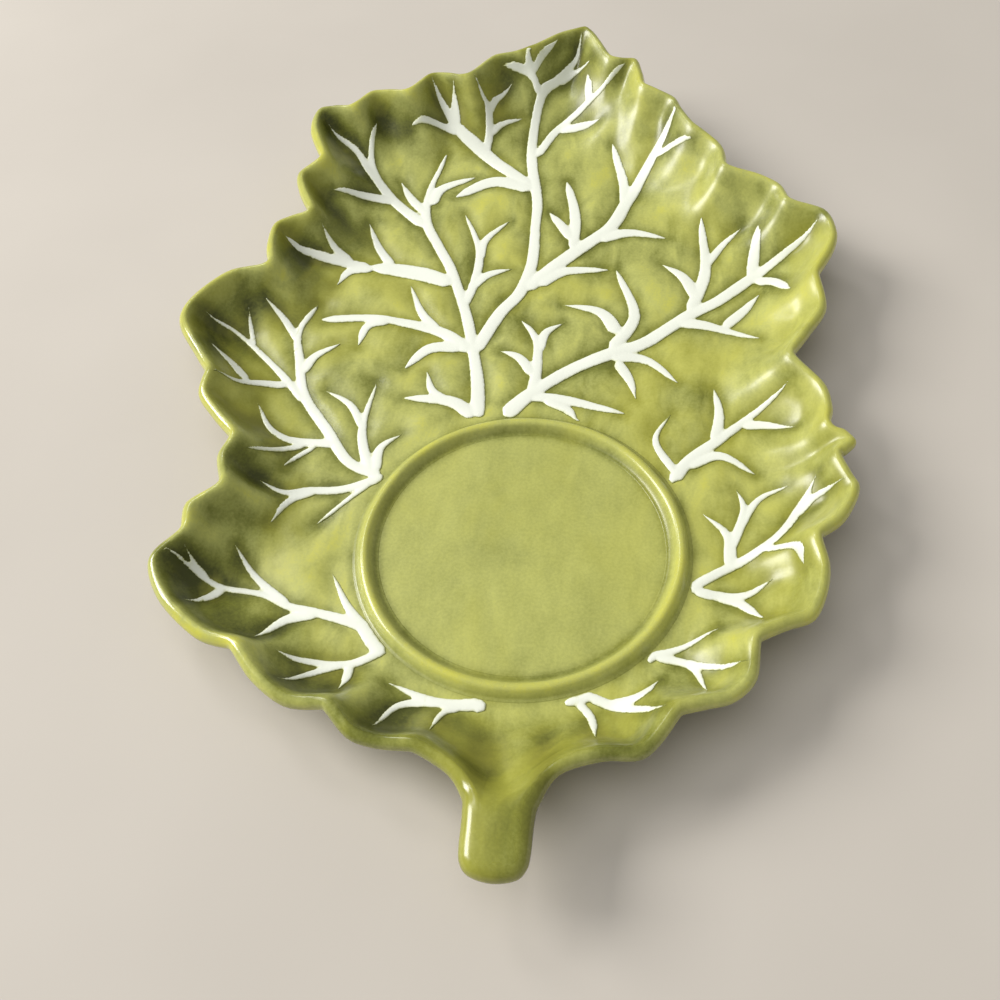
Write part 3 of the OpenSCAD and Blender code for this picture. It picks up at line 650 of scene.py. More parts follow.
        # This share is real glaze pooling and painted shade together.
        pool = f.plain + f.by_vein * groove + f.in_hollow * hollow - f.off_lip * lip
        pool = pool + f.root_shade * root + f.at_ring * self.ring_feet(plan)
        pool = pool - f.off_ridge * ridge + f.in_cuts * cuts
        self._pool_and_shade = np.clip(pool, 0.0, 1.0)
        bright = ease(1.0 - within / f.bright_w) * (1.0 - f.stem_dulls * stem)
        self._edge = bright + f.bright_stem * stem

    def ring_feet(self, plan: np.ndarray) -> np.ndarray:
        """How near each plan point lies to one of the ring's two feet, from 0 to 1."""
        s, f = self.sizes, self.flow
        out = np.linalg.norm(plan - s.well, axis=1) - s.ring_in_r
        outer = f.outer_foot_share * bell(out - s.ring_w, f.outer_foot_w)
        return bell(out, f.inner_foot_w) + outer

    def _root_folds(self, plan: np.ndarray) -> tuple[np.ndarray, np.ndarray]:
        """The soft ridge from the ring to the stem and the two cuts beside it, from 0 to 1."""
        s, r = self.sizes, self.root
        side = plan[:, 0] - s.stem_x
        above = ease((s.root_y + r.reach - plan[:, 1]) / r.reach_fade)
        near = above * ease((plan[:, 1] - s.root_y + r.down) / r.down_fade)
        left = r.left_share * bell(side + r.left_x, r.left_w)
        cuts = bell(side - r.right_x, r.right_w) + left
        return near * bell(side - r.ridge_x, r.ridge_w), near * cuts

    def tip_share(self, plan: np.ndarray) -> np.ndarray:
        """How far towards the tip each point is, from 0 at the middle to 1, squared."""
        s = self.sizes
        return (np.clip((plan[:, 1] - s.shift) / (s.leaf_l / 2), 0.0, 1.0)) ** 2

    def stem_share(self, plan: np.ndarray) -> np.ndarray:
        """1 on the stem and 0 on the leaf, with a soft change between."""
        s = self.sizes
        return ease((s.root_y + s.stem_in - plan[:, 1]) / s.stem_fade)

    def off_ring(self, plan: np.ndarray) -> np.ndarray:
        """0 on the flat floor in and round the dip ring, 1 away from it."""
        s = self.sizes
        out = np.linalg.norm(plan - s.well, axis=1) - s.ring_out_r - s.ring_apron
        return np.clip(out / s.apron_fade, 0.0, 1.0)

    def _bank_share(self, plan: np.ndarray, rim: np.ndarray) -> np.ndarray:
        """How far up the bank each point is, from 0 on the floor to 1 on the lip."""
        s = self.sizes
        width = s.bank_w + (s.tip_bank_w - s.bank_w) * self.tip_share(plan)
        return np.clip(1.0 - np.maximum(rim, 0.0) / width, 0.0, 1.0)

    def _scoop_share(self, rim: np.ndarray) -> np.ndarray:
        """0 on the rim and well inside it, 1 where a lobe's hollow is deepest."""
        share = np.clip(1.0 - rim / self.sizes.scoop_w, 0.0, 1.0)
        return np.clip(4.0 * share * (1.0 - share), 0.0, 1.0) ** self.sizes.scoop_round

    def _base(
        self, plan: np.ndarray, rim: np.ndarray, fold: np.ndarray, up: np.ndarray, stem: np.ndarray
    ) -> np.ndarray:
        """Height of the top without its pads and puckers.

        Args:
            plan: the plan points.
            rim: how far inside the outline each one is.
            fold: how much each lies on a fold.
            up: how far up the bank each one is.
            stem: how much each belongs to the stem.

        Returns:
            The heights above the table.
        """
        s = self.sizes
        rise = s.side_h + (s.tip_h - s.side_h) * self.tip_share(plan) - s.floor_z
        rise = rise + s.fold_h * (fold - 0.5)
        bowl = up ** (s.lobe_curve + (s.fold_curve - s.lobe_curve) * fold)
        lip = ease(1.0 - (rim - s.lip_in) / s.lip_w)
        scoop = s.scoop_h * (fold - Fold.SIDE.value) * self._scoop_share(rim)
        dish = s.floor_z + self.off_ring(plan) * (rise * (bowl + (1.0 - bowl) * lip) + scoop)
        across = np.clip(rim / (s.stem_w / 2), 0.0, 1.0)
        level = s.side_h + s.fold_h * (Fold.SIDE.value - 0.5)
        top = level + s.stem_crown * (1.0 - (1.0 - across) ** 2)
        return dish * (1.0 - stem) + top * stem

    def _relief(
        self, plan: np.ndarray, rim: np.ndarray, vein: np.ndarray, stem: np.ndarray
    ) -> np.ndarray:
        """Height of the pads between the veins, of their puckers and of the ridge at the root.

        Args:
            plan: the plan points.
            rim: how far inside the outline each one is.
            vein: how far each one is from the edge of a vein.
            stem: how much each belongs to the stem.

        Returns:
            The heights to add to the plain top.
        """
        s, r = self.sizes, self.root
        pads = s.pad_h * (1.0 - bell(vein, s.pad_reach))
        pads -= s.groove * bell(vein, s.groove_w)
        wrinkle = np.array([
            noise.noise(Vector((x / s.pucker_w, y / s.pucker_w, 0.4)))
            + s.crimp_share * noise.noise(Vector((x / s.crimp_w, y / s.crimp_w, 3.1)))
            for x, y in plan
        ])
        hold = ease((rim - s.hold_in) / s.hold_fade) * ease(self.off_ring(plan)) * (1.0 - stem)
        ridge, cuts = self._root_folds(plan)
        rib = (r.height * ridge - r.cut * cuts) * ease(rim / r.rim_fade)
        return hold * (pads + s.pucker * wrinkle) + rib

    def top(self, plan: np.ndarray) -> np.ndarray:
        """Height of the glazed top over plan points, in millimetres."""
        return self.grid.read(self._top, plan)

    def underside(self, plan: np.ndarray) -> np.ndarray:
        """Height of the underside over plan points, in millimetres."""
        return self.grid.read(self._under, plan)

    def pool(self, plan: np.ndarray) -> np.ndarray:
        """How deep the glaze lies over plan points, with painted shade added, from 0 on crests to 1
        in hollows.
        """
        return self.grid.read(self._pool_and_shade, plan)

    def edge(self, plan: np.ndarray) -> np.ndarray:
        """How much each plan point belongs to the bright lip or the stem, from 0 to 1."""
        return self.grid.read(self._edge, plan)

    def spine(self, plan: np.ndarray) -> np.ndarray:
        """The point on the spine that each rim point looks at, kept in order along it.

        Args:
            plan: the points of the rim, from the tip round the left side.

        Returns:
            One spine point for each.
        """
        s = self.sizes
        lowest = int(np.argmin(plan[:, 1]))
        height = plan[:, 1].copy()
        height[:lowest + 1] = np.minimum.accumulate(height[:lowest + 1])
        height[lowest:] = np.maximum.accumulate(height[lowest:])
        half = self.fine.spine_half
        window = 2 * half + 1
        wide = np.concatenate([height[-half:], height, height[:half]])
        height = np.convolve(wide, np.ones(window) / window, mode="valid")
        away = height - s.well[1]
        share = np.where(away > 0, self.fine.spine_up, self.fine.spine_down)
        return np.column_stack([np.full(len(plan), s.well_x), s.well[1] + away * share])


class Maker:
    """Shared steps for turning rows of points into a finished piece."""

    @staticmethod
    def ring(bm: bmesh.types.BMesh, row: np.ndarray) -> list[bmesh.types.BMVert]:
        """Starts a closed row as a circle and moves it to its points."""
        made = bmesh.ops.create_circle(bm, cap_ends=False, segments=len(row), radius=1.0)
        verts = made["verts"]
        for vert, place in zip(verts, row):
            vert.co = Vector(place) * MM
        return verts

    @staticmethod
    def edges_of(verts: Sequence[bmesh.types.BMVert]) -> list[bmesh.types.BMEdge]:
        """The edges that join a closed row of vertices."""
        wanted = zip(verts, [*verts[1:], verts[0]])
        return [next(e for e in a.link_edges if e.other_vert(a) is b) for a, b in wanted]

    @classmethod
    def grow(
        cls, bm: bmesh.types.BMesh, verts: Sequence[bmesh.types.BMVert], row: np.ndarray
    ) -> list[bmesh.types.BMVert]:
        """Extrudes a closed row and moves the new row to its points.

        Args:
            bm: the mesh.
            verts: the row to extrude.
            row: where the new row goes, in millimetres.

        Returns:
            The new row, in the same order.
        """
        made = bmesh.ops.extrude_edge_only(bm, edges=cls.edges_of(verts))
        fresh = {v for v in made["geom"] if isinstance(v, bmesh.types.BMVert)}
        out = []
        for vert, place in zip(verts, row):
            others = (edge.other_vert(vert) for edge in vert.link_edges)
            partner = next(other for other in others if other in fresh)
            partner.co = Vector(place) * MM
            out.append(partner)
        return out

    @classmethod
    def cap(cls, bm: bmesh.types.BMesh, verts: Sequence[bmesh.types.BMVert]) -> None:
        """Closes a row with one face, cut into triangles."""
        made = bmesh.ops.contextual_create(bm, geom=cls.edges_of(verts))
        bmesh.ops.triangulate(bm, faces=made["faces"])

    @classmethod
    def loft(cls, bm: bmesh.types.BMesh, rows: Sequence[np.ndarray]) -> None:
        """Skins a stack of closed rows and caps both ends."""
        verts = cls.ring(bm, rows[0])
        cls.cap(bm, verts)
        for row in rows[1:]:
            verts = cls.grow(bm, verts, row)
        cls.cap(bm, verts)

    @staticmethod
    def finish(
        bm: bmesh.types.BMesh, name: str, material: bpy.types.Material, slot: Slot,
        replaced: Sequence[str],
    ) -> bpy.types.Object:
        """Turns a mesh in the making into a piece that rides on the plate.

        Args:
            bm: the mesh, which is freed.
            name: the piece's name.
            material: its finish.
            slot: the record's slot for that finish; not used.
            replaced: the CAD nodes that it stands for.

        Returns:
            The piece.
        """
        bmesh.ops.recalc_face_normals(bm, faces=bm.faces[:])
        for face in bm.faces:
            face.smooth = True
        mesh = bpy.data.meshes.new(name)
        bm.to_mesh(mesh)
        bm.free()
        piece = bpy.data.objects.new(name, mesh)
        bpy.context.scene.collection.objects.link(piece)
        mesh.materials.append(material)
        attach(piece, "root")
        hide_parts(*replaced)
        log.info("%s: %d faces", name, len(mesh.polygons))
        return piece

    @staticmethod
    def write_share(piece: bpy.types.Object, name: str, values: np.ndarray) -> None:
        """Stores one number per vertex for a material to read."""
        layer = piece.data.attributes.new(name, "FLOAT", "POINT")
        layer.data.foreach_set("value", np.asarray(values, np.float32))

    @staticmethod
    def places(piece: bpy.types.Object) -> np.ndarray:
        """The piece's vertices in millimetres."""
        flat = np.empty(len(piece.data.vertices) * 3, np.float32)
        piece.data.vertices.foreach_get("co", flat)
        return flat.reshape(-1, 3).astype(float) / MM


@dataclass
class LeafCasting:
    """The blade and the stem, which are one casting under one glaze."""

    shape: LeafShape
    lip_steps: int = 12
    top_rows: int = 62
    under_rows: int = 22
    reach: float = 0.965
    crowding: float = 1.25
    crest_rounds: int = 3
    below_from: float = 2.2
    below_fade: float = 1.6
    below_pool: float = 0.45
    calm_past: float = 1.0
    calm_fade: float = 3.0

    def _crest(self) -> tuple[np.ndarray, np.ndarray]:
        """Lays the crest of the lip inside the outline.

        Returns:
            The plan points of the crest, and how much each belongs to the stem.
        """
        s = self.shape.sizes
        rim = self.shape.rim
        along = np.roll(rim, -2, 0) - np.roll(rim, 2, 0)
        inward = np.column_stack([-along[:, 1], along[:, 0]])
        inward /= np.linalg.norm(inward, axis=1)[:, None]
        mix = self.shape.stem_share(rim)
        depth = s.lip_in * (1.0 - mix) + s.stem_lip_in * mix
        crest = rim + inward * depth[:, None]
        for _ in range(self.crest_rounds):
            crest = (np.roll(crest, 1, 0) + 2 * crest + np.roll(crest, -1, 0)) / 4
        return crest, mix

    def _lip_rows(self, crest: np.ndarray, mix: np.ndarray) -> list[np.ndarray]:
        """The rows round the lip, from its crest over the outside to its underside."""
        s = self.shape.sizes
        rim = self.shape.rim
        height = self.shape.top(crest)
        drop = s.lip_drop * (1.0 - mix) + s.stem_drop * mix
        rows = []
        for i in range(self.lip_steps + 1):
            turn = math.pi / 2 - math.pi * i / self.lip_steps
            out = math.cos(turn)
            plan = crest + (rim - crest) * out
            rows.append(np.column_stack([plan, height + drop * (math.sin(turn) - 1.0)]))
        return rows

    def _inner_rows(
        self, crest: np.ndarray, count: int, height: Callable[[np.ndarray], np.ndarray]
    ) -> list[np.ndarray]:
        """The rows from the lip in to the spine at the heights of one of the two faces."""
        spine = self.shape.spine(self.shape.rim)
        rows = []
        for i in range(1, count + 1):
            share = self.reach * (i / count) ** self.crowding
            plan = crest + (spine - crest) * share
            rows.append(np.column_stack([plan, height(plan)]))
        return rows

    def build(self, glaze: bpy.types.Material) -> bpy.types.Object:
        """Builds and dresses the casting.

        Args:
            glaze: the green glaze.

        Returns:
            The piece.
        """
        crest, mix = self._crest()
        top = self._inner_rows(crest, self.top_rows, self.shape.top)
        under = self._inner_rows(crest, self.under_rows, self.shape.underside)
        bm = bmesh.new()
        Maker.loft(bm, [*top[::-1], *self._lip_rows(crest, mix), *under])
        piece = Maker.finish(bm, "leaf_casting", glaze, Slot.GLAZE, ["leaf_body", "stem_handle"])
        places = Maker.places(piece)
        plan = places[:, :2]
        s = self.shape.sizes
        below = ease((self.shape.top(plan) - places[:, 2] - self.below_from) / self.below_fade)
        # The glaze share carries painted shade too; the underside takes a plain value.
        pool = self.shape.pool(plan) * (1.0 - below) + self.below_pool * below
        Maker.write_share(piece, "glaze_pool_and_shade", pool)
        out = np.linalg.norm(plan - s.well, axis=1)
        calm = ease((s.ring_in_r + self.calm_past - out) / self.calm_fade) * (1.0 - below)
        Maker.write_share(piece, "glaze_calm", calm)
        Maker.write_share(piece, "glaze_edge", self.shape.edge(plan))
        return piece


@dataclass
class DipRing:
    """The low round ridge that fences off the dip well, with its soft feet."""

    shape: LeafShape
    steps: int = 240
    section_steps: int = 4
    sunk: float = 0.3
    splay: float = 0.05
    sway: float = 0.22
    sway_w: float = 16.0
    lift_share: float = 0.5
    plain: float = 0.38
    # At the ring's feet: glaze pooling and a painted shade line.
    at_feet: float = 0.3
    off_crest: float = 0.2
    calm: float = 0.6
    bright: float = 0.6

    def _section(self) -> np.ndarray:
        """The ridge in section: its inner side slopes softly and its outer side is steeper."""
        s = self.shape.sizes
        shares = np.array([
            (-0.12, 0.0), (0.03, 0.06), (0.17, 0.36), (0.33, 0.84), (0.49, 1.0), (0.65, 0.87),
            (0.79, 0.48), (0.9, 0.13), (1.04, 0.0),
        ])
        path = smooth_path(shares, self.section_steps, False) * (s.ring_w, s.ring_h)
        path = path + (s.ring_in_r, 0.0)
        first = path[0] + (-self.splay, -self.sunk)
        last = path[-1] + (self.splay, -self.sunk)
        return np.vstack([first, path, last])

    def build(self, glaze: bpy.types.Material) -> bpy.types.Object:
        """Spins the ridge's section round the well and dresses it."""
        s = self.shape.sizes
        bm = bmesh.new()
        centre = Vector((s.well[0], s.well[1], s.floor_z))
        verts = [bm.verts.new((centre + Vector((r, 0.0, z))) * MM) for r, z in self._section()]
        for first, second in zip(verts, [*verts[1:], verts[0]]):
            bm.edges.new((first, second))
        bmesh.ops.spin(
            bm, geom=bm.edges[:] + bm.verts[:], cent=centre * MM, axis=(0.0, 0.0, 1.0),
            angle=TURN, steps=self.steps, use_merge=True,
        )
        for vert in bm.verts:
            out = (vert.co / MM - centre).xy
            sway = noise.noise(Vector((out.x / self.sway_w, out.y / self.sway_w, 7.0)))
            high = max(vert.co.z / MM - s.floor_z, 0.0) / s.ring_h
            vert.co.xy += out.normalized() * sway * self.sway * high * MM
            vert.co.z += self.lift_share * sway * self.sway * high * MM
        piece = Maker.finish(bm, "well_ring", glaze, Slot.GLAZE, ["dip_ring"])
        places = Maker.places(piece)
        high = np.clip((places[:, 2] - s.floor_z) / s.ring_h, 0.0, 1.0)
        feet = self.shape.ring_feet(places[:, :2])
        # Darker at the feet: glaze pooling with a painted shade line.
        pool = self.plain + self.at_feet * feet - self.off_crest * high
        Maker.write_share(piece, "glaze_pool_and_shade", np.clip(pool, 0.0, 1.0))
        Maker.write_share(piece, "glaze_calm", np.full(len(places), self.calm))
        Maker.write_share(piece, "glaze_edge", self.bright * high)
        return piece


@dataclass
class VeinSpray:
    """One spray of white veins trailed over the glaze."""

    shape: LeafShape
    name: str
    strokes: Sequence[Stroke]
    high: float = 0.6
    skirt: float = 0.08
    sunk: float = 0.6
    belly: float = 0.3
    sides: int = 12
    voxel: float = 0.36
    steps: int = 7
    melt_rounds: int = 2
    end_run: float = 4.0
    end_least: float = 0.22
    start_run: float = 1.6
    start_least: float = 0.5
    end_round: float = 0.7
    start_round: float = 0.6
    skirt_full_w: float = 2.5
    skirt_least: float = 0.1
    crown_full_w: float = 5.0
    crown_least: float = 0.6
    crown_round: float = 0.7

    def _stroke_rows(self, stroke: Stroke) -> list[np.ndarray]:
        """The rings of points along one stroke, laid on the glaze."""
        path = self.shape.stroke_path(stroke, self.steps)
        plan, width = path[:, :2], path[:, 2]
        run = np.concatenate([[0.0], np.cumsum(np.linalg.norm(np.diff(plan, axis=0), axis=1))])
        to_end = np.clip((run[-1] - run) / self.end_run, 0.0, 1.0) ** self.end_round
        to_start = np.clip(run / self.start_run, 0.0, 1.0) ** self.start_round
        width = width * (self.end_least + (1.0 - self.end_least) * to_end)
        width = width * (self.start_least + (1.0 - self.start_least) * to_start)
        if len(stroke) == 3:
            width = width * (1.0 + self.belly * np.sin(math.pi * run / run[-1]))
        skirt = self.skirt * np.clip(width / self.skirt_full_w, self.skirt_least, 1.0)
        width = width + 2.0 * skirt
        way = np.gradient(plan, axis=0)
        way /= np.linalg.norm(way, axis=1)[:, None]
        side = np.column_stack([-way[:, 1], way[:, 0]])
        turns = np.array([TURN * (k + 0.5) / self.sides for k in range(self.sides)])
        across, upward = np.cos(turns), np.sin(turns)
        reach = across[None, :, None] * width[:, None, None] / 2
        spots = plan[:, None] + side[:, None] * reach
        ground = self.shape.top(spots.reshape(-1, 2)).reshape(len(plan), self.sides)
        full = np.clip(width / self.crown_full_w, 0.0, 1.0)
        crown = self.high * (self.crown_least + (1.0 - self.crown_least) * full)
        bulge = np.abs(upward) ** self.crown_round * crown[:, None]
        lift = np.where(upward > 0, bulge, upward * self.sunk)
        return [np.column_stack([spots[i], ground[i] + lift[i]]) for i in range(len(plan))]

    def build(self, enamel: bpy.types.Material) -> bpy.types.Object:
        """Builds the strokes, melts them together and dresses the spray."""
        bm = bmesh.new()
        for stroke in self.strokes:
            Maker.loft(bm, self._stroke_rows(stroke))
        node = f"vein_{self.name}"
        piece = Maker.finish(bm, f"spray_{self.name}", enamel, Slot.ENAMEL, [node])
        self._melt(piece)
        places = Maker.places(piece)
        plan = places[:, :2]
        Maker.write_share(piece, "above_glaze", places[:, 2] - self.shape.top(plan))
        return piece

    def _melt(self, piece: bpy.types.Object) -> None:
        """Fuses the strokes where they cross and softens the joints."""
        fuse = piece.modifiers.new("fuse", "REMESH")
        fuse.mode = "VOXEL"
        fuse.voxel_size = self.voxel * MM
        fuse.use_smooth_shade = True
        seen = piece.evaluated_get(bpy.context.evaluated_depsgraph_get())
        melted = bpy.data.meshes.new_from_object(seen)
        piece.modifiers.clear()
        bm = bmesh.new()
        bm.from_mesh(melted)
        axes = {f"use_axis_{axis}": True for axis in "xyz"}
        for _ in range(self.melt_rounds):
            bmesh.ops.smooth_vert(bm, verts=bm.verts[:], factor=0.5, **axes)
        for face in bm.faces:
            face.smooth = True
        bm.to_mesh(piece.data)
        bm.free()
        log.info("%s melted: %d faces", piece.name, len(piece.data.polygons))


def paint(colour: Colour) -> tuple[float, ...]:
    """A colour as it is given, from 0 to 255, turned into the shader's own scale."""
    shares = [channel / 255.0 for channel in colour]
    straight = [s / 12.92 if s <= 0.04045 else ((s + 0.055) / 1.055) ** 2.4 for s in shares]
    return (*straight, 1.0)


@dataclass(frozen=True)
class Grain:
    """Cloudy noise: spots to the metre, layers and strength of the finer noise, and stirring.

    A stretch of less than 1 draws the spots out along that axis.
    """

    scale: float
    detail: float = 4.0
    rough: float = 0.5
    warp: float = 0.0
    stretch: Place = (1.0, 1.0, 1.0)


class NodeBench:
    """A material in the making, with short calls for the nodes that the finishes share."""

    usual_noise = (0.3, 0.7)

    def __init__(self, name: str) -> None:
        """Starts a material with a surface shader.

        Args:
            name: the material's name.
        """
        self.material = bpy.data.materials.new(name)
        self.material.use_nodes = True
        self.tree = self.material.node_tree
        self.tree.nodes.clear()
        self.shader = self.tree.nodes.new("ShaderNodeBsdfPrincipled")
        out = self.tree.nodes.new("ShaderNodeOutputMaterial")
        self.tree.links.new(self.shader.outputs["BSDF"], out.inputs["Surface"])
        self.spot = self.tree.nodes.new("ShaderNodeTexCoord").outputs["Object"]

    def feed(self, value: Value | tuple[float, ...], target: Socket) -> None:
        """Joins a socket to another one, or sets a plain value on it."""
        if isinstance(value, Socket):
            self.tree.links.new(value, target)
        else:
            target.default_value = value

    def node(self, kind: str, inputs: dict) -> bpy.types.Node:
        """Adds a node of a kind and feeds its inputs, which go by name or number."""
        node = self.tree.nodes.new(f"ShaderNode{kind}")
        for name, value in inputs.items():
            self.feed(value, node.inputs[name])
        return node

    def wear(self, name: str, value: Value) -> None:
        """Gives one of the shader's own inputs a value from another node."""
        self.feed(value, self.shader.inputs[name])

    def noise(self, grain: Grain) -> Socket:
        """Cloudy noise, from 0 to 1."""
        place = self.node("Mapping", {"Vector": self.spot, "Scale": grain.stretch})
        return self.node("TexNoise", {
            "Vector": place.outputs["Vector"], "Scale": grain.scale, "Detail": grain.detail,
            "Roughness": grain.rough, "Distortion": grain.warp,
        }).outputs["Fac"]

    def swing(self, source: Grain | Socket, to_low: float, to_high: float) -> Socket:
        """Cloudy noise whose usual range is mapped to another one."""
        value = self.noise(source) if isinstance(source, Grain) else source
        return self.span(value, *self.usual_noise, to_low, to_high)

    def along(self, axis: str) -> Socket:
        """How far along an axis a point lies, in metres."""
        return self.node("SeparateXYZ", {"Vector": self.spot}).outputs[axis]

    def share(self, name: str) -> Socket:
        """A number stored on the piece's vertices."""
        node = self.node("Attribute", {})
        node.attribute_name = name
        return node.outputs["Fac"]

    def sum(self, kind: str, first: Value, second: Value, clamp: bool = False) -> Socket:
        """Arithmetic on two values."""
        node = self.node("Math", {0: first, 1: second})
        node.operation = kind
        node.use_clamp = clamp
        return node.outputs[0]

    def span(
        self, value: Socket, low: float, high: float, to_low: float = 0.0, to_high: float = 1.0
    ) -> Socket:
        """Maps a value from one range to another and holds it there.

        Args:
            value: the value.
            low: where its range starts.
            high: where its range ends.
            to_low: what the start becomes.
            to_high: what the end becomes.

        Returns:
            The mapped value.
        """
        ends = {"From Min": low, "From Max": high, "To Min": to_low, "To Max": to_high}
        node = self.node("MapRange", {"Value": value, **ends})
        node.clamp = True
        return node.outputs["Result"]

    def ramp(self, value: Socket, stops: Sequence[tuple[float, Colour]]) -> Socket:
        """Colours along a value."""
        node = self.node("ValToRGB", {"Fac": value})
        band = node.color_ramp
        while len(band.elements) < len(stops):
            band.elements.new(0.5)
        for element, (place, colour) in zip(band.elements, stops):
            element.position = place
            element.color = paint(colour)
        return node.outputs["Color"]

    def blend(
        self, share: Value, first: Socket | tuple[float, ...], second: tuple[float, ...]
    ) -> Socket:
        """Mixes two colours by a share of the second."""
        node = self.node("Mix", {0: share, 6: first, 7: second})
        node.data_type = "RGBA"
        return node.outputs[2]

    def bump(
        self, height: Socket, strength: float, depth: float, under: Socket | None = None
    ) -> Socket:
        """Roughens the surface by a height.

        Args:
            height: the height, from 0 to 1.
            strength: how strongly it shows.
            depth: what a height of 1 stands for, in millimetres.
            under: the coarser bump that this one lies on.

        Returns:
            The roughened surface's facing.
        """
        inputs = {"Height": height, "Strength": strength, "Distance": depth * MM}
        if under is not None:
            inputs["Normal"] = under
        return self.node("Bump", inputs).outputs["Normal"]

    def settle(self, **values: float) -> None:
        """Sets plain numbers on the shader's own inputs."""
        for name, number in values.items():
            title = name.replace("_", " ").title().replace("Ior", "IOR")
            self.shader.inputs[title].default_value = number


@dataclass(frozen=True)
class GreenGlaze:
    """The mottled olive glaze, thin and yellow on edges, dark where it pools and where shade is
    painted in.
    """

    thin: Colour = (200, 198, 84)
    light: Colour = (182, 184, 100)
    mid: Colour = (159, 162, 86)
    deep: Colour = (116, 120, 46)
    pooled_and_shaded: Colour = (66, 70, 16)
    warm: Colour = (190, 187, 72)
    cloud: Grain = Grain(60.0, 4.0, 0.5, 0.4)
    brushed: Grain = Grain(150.0, 5.0, 0.6, 0.5, (1.0, 0.4, 1.0))
    speck: Grain = Grain(1300.0, 2.0, 0.6)
    drift: Grain = Grain(38.0, 4.0, 0.55, 0.8, (1.0, 0.6, 1.0))
    satin: Grain = Grain(260.0, 3.0)
    wave: Grain = Grain(95.0, 2.0, 0.4)
    peel: Grain = Grain(520.0, 3.0)

    def make(self) -> bpy.types.Material:
        """Mixes the glaze."""
        bench = NodeBench("green_glaze")
        pool = bench.share("glaze_pool_and_shade")
        loose = bench.span(bench.share("glaze_calm"), 0.0, 1.0, 1.0, 0.4)
        quiet = bench.sum("MULTIPLY", loose, bench.span(pool, 0.42, 0.85, 1.0, 0.4))
        brushed = bench.swing(self.brushed, -0.19, 0.19)
        mottle = bench.sum("ADD", bench.swing(self.cloud, -0.2, 0.12), brushed)
        speck = bench.span(bench.noise(self.speck), 0.35, 0.65, -0.045, 0.045)
        depth = bench.sum("ADD", pool, bench.sum("MULTIPLY", mottle, quiet))
        # The darker stops stand for pooled glaze and for painted shade.
        colour = bench.ramp(bench.sum("ADD", depth, speck, True), [
            (0.0, self.thin), (0.25, self.light), (0.45, self.mid), (0.72, self.deep),
            (1.0, self.pooled_and_shaded),
        ])
        drift = bench.span(bench.noise(self.drift), 0.46, 0.66, 0.0, 0.42)
        share = bench.sum("MULTIPLY", drift, loose)
        bench.wear("Base Color", bench.blend(share, colour, paint(self.warm)))
        gloss = bench.span(bench.share("glaze_edge"), 0.2, 0.9, 1.0, 0.36)
        bench.wear("Roughness", bench.sum("MULTIPLY", bench.swing(self.satin, 0.34, 0.46), gloss))
        wave = bench.bump(bench.noise(self.wave), 0.3, 0.5)
        bench.wear("Normal", bench.bump(bench.noise(self.peel), 0.15, 0.12, wave))
        bench.settle(coat_weight=0.35, coat_roughness=0.22, coat_ior=1.45)
        bench.settle(ior=1.5, specular_ior_level=0.55)
        return bench.material


@dataclass(frozen=True)
class WhiteEnamel:
    """The white slip of the veins: opaque on its crown, thin and stained at its edges, with painted
    shade at its foot.
    """

    white: Colour = (236, 239, 226)
    cream: Colour = (222, 225, 194)
    stained: Colour = (160, 164, 98)
    # Darkest colour: painted shade at the foot of each stroke, and glaze showing where the slip is
    # worn.
    edge: Colour = (96, 100, 40)
    rub: Grain = Grain(300.0, 6.0, 0.7, 0.6, (1.0, 0.6, 1.0))
    satin: Grain = Grain(700.0, 3.0)
    peel: Grain = Grain(900.0, 3.0, 0.6)
    worn_from: float = -0.03
    worn_to: float = -0.075

    def make(self) -> bpy.types.Material:
        """Mixes the enamel."""
        bench = NodeBench("white_enamel")
        rub = bench.noise(self.rub)
        body = bench.sum("ADD", bench.share("above_glaze"), bench.swing(rub, -0.12, 0.12))
        worn = bench.span(bench.along("X"), self.worn_to, self.worn_from, 1.0, 0.0)
        bare = bench.sum("MULTIPLY", bench.span(rub, 0.56, 0.66, 0.0, 0.42), worn)
        cover = bench.span(bench.sum("SUBTRACT", body, bare), 0.0, 0.5)
        # The first stop is painted shade at each stroke's foot, and worn slip.
        bench.wear("Base Color", bench.ramp(cover, [
            (0.0, self.edge), (0.28, self.stained), (0.5, self.cream), (0.78, self.white),
        ]))
        bench.wear("Roughness", bench.swing(self.satin, 0.3, 0.48))
        bench.wear("Normal", bench.bump(bench.noise(self.peel), 0.35, 0.12))
        bench.settle(coat_weight=0.4, coat_roughness=0.24, ior=1.5, specular_ior_level=0.25)
        return bench.material


@dataclass(frozen=True)
class BareClay:
    """Wiped stoneware with fine grit, where the plate stands."""

    pale: Colour = (214, 198, 172)
    dark: Colour = (168, 146, 116)
    grit: Grain = Grain(1600.0, 4.0, 0.7)
    stain: Grain = Grain(120.0)

    def make(self) -> bpy.types.Material:
        """Mixes the clay."""
        bench = NodeBench("bare_clay")
        grit = bench.noise(self.grit)
        both = bench.sum("ADD", grit, bench.noise(self.stain))
        colour = bench.ramp(bench.sum("MULTIPLY", both, 0.5), [(0.35, self.dark), (0.6, self.pale)])
        bench.wear("Base Color", colour)
        bench.wear("Roughness", bench.swing(grit, 0.7, 0.95))
        bench.wear("Normal", bench.bump(grit, 0.5, 0.15))
        bench.settle(ior=1.45)
        return bench.material


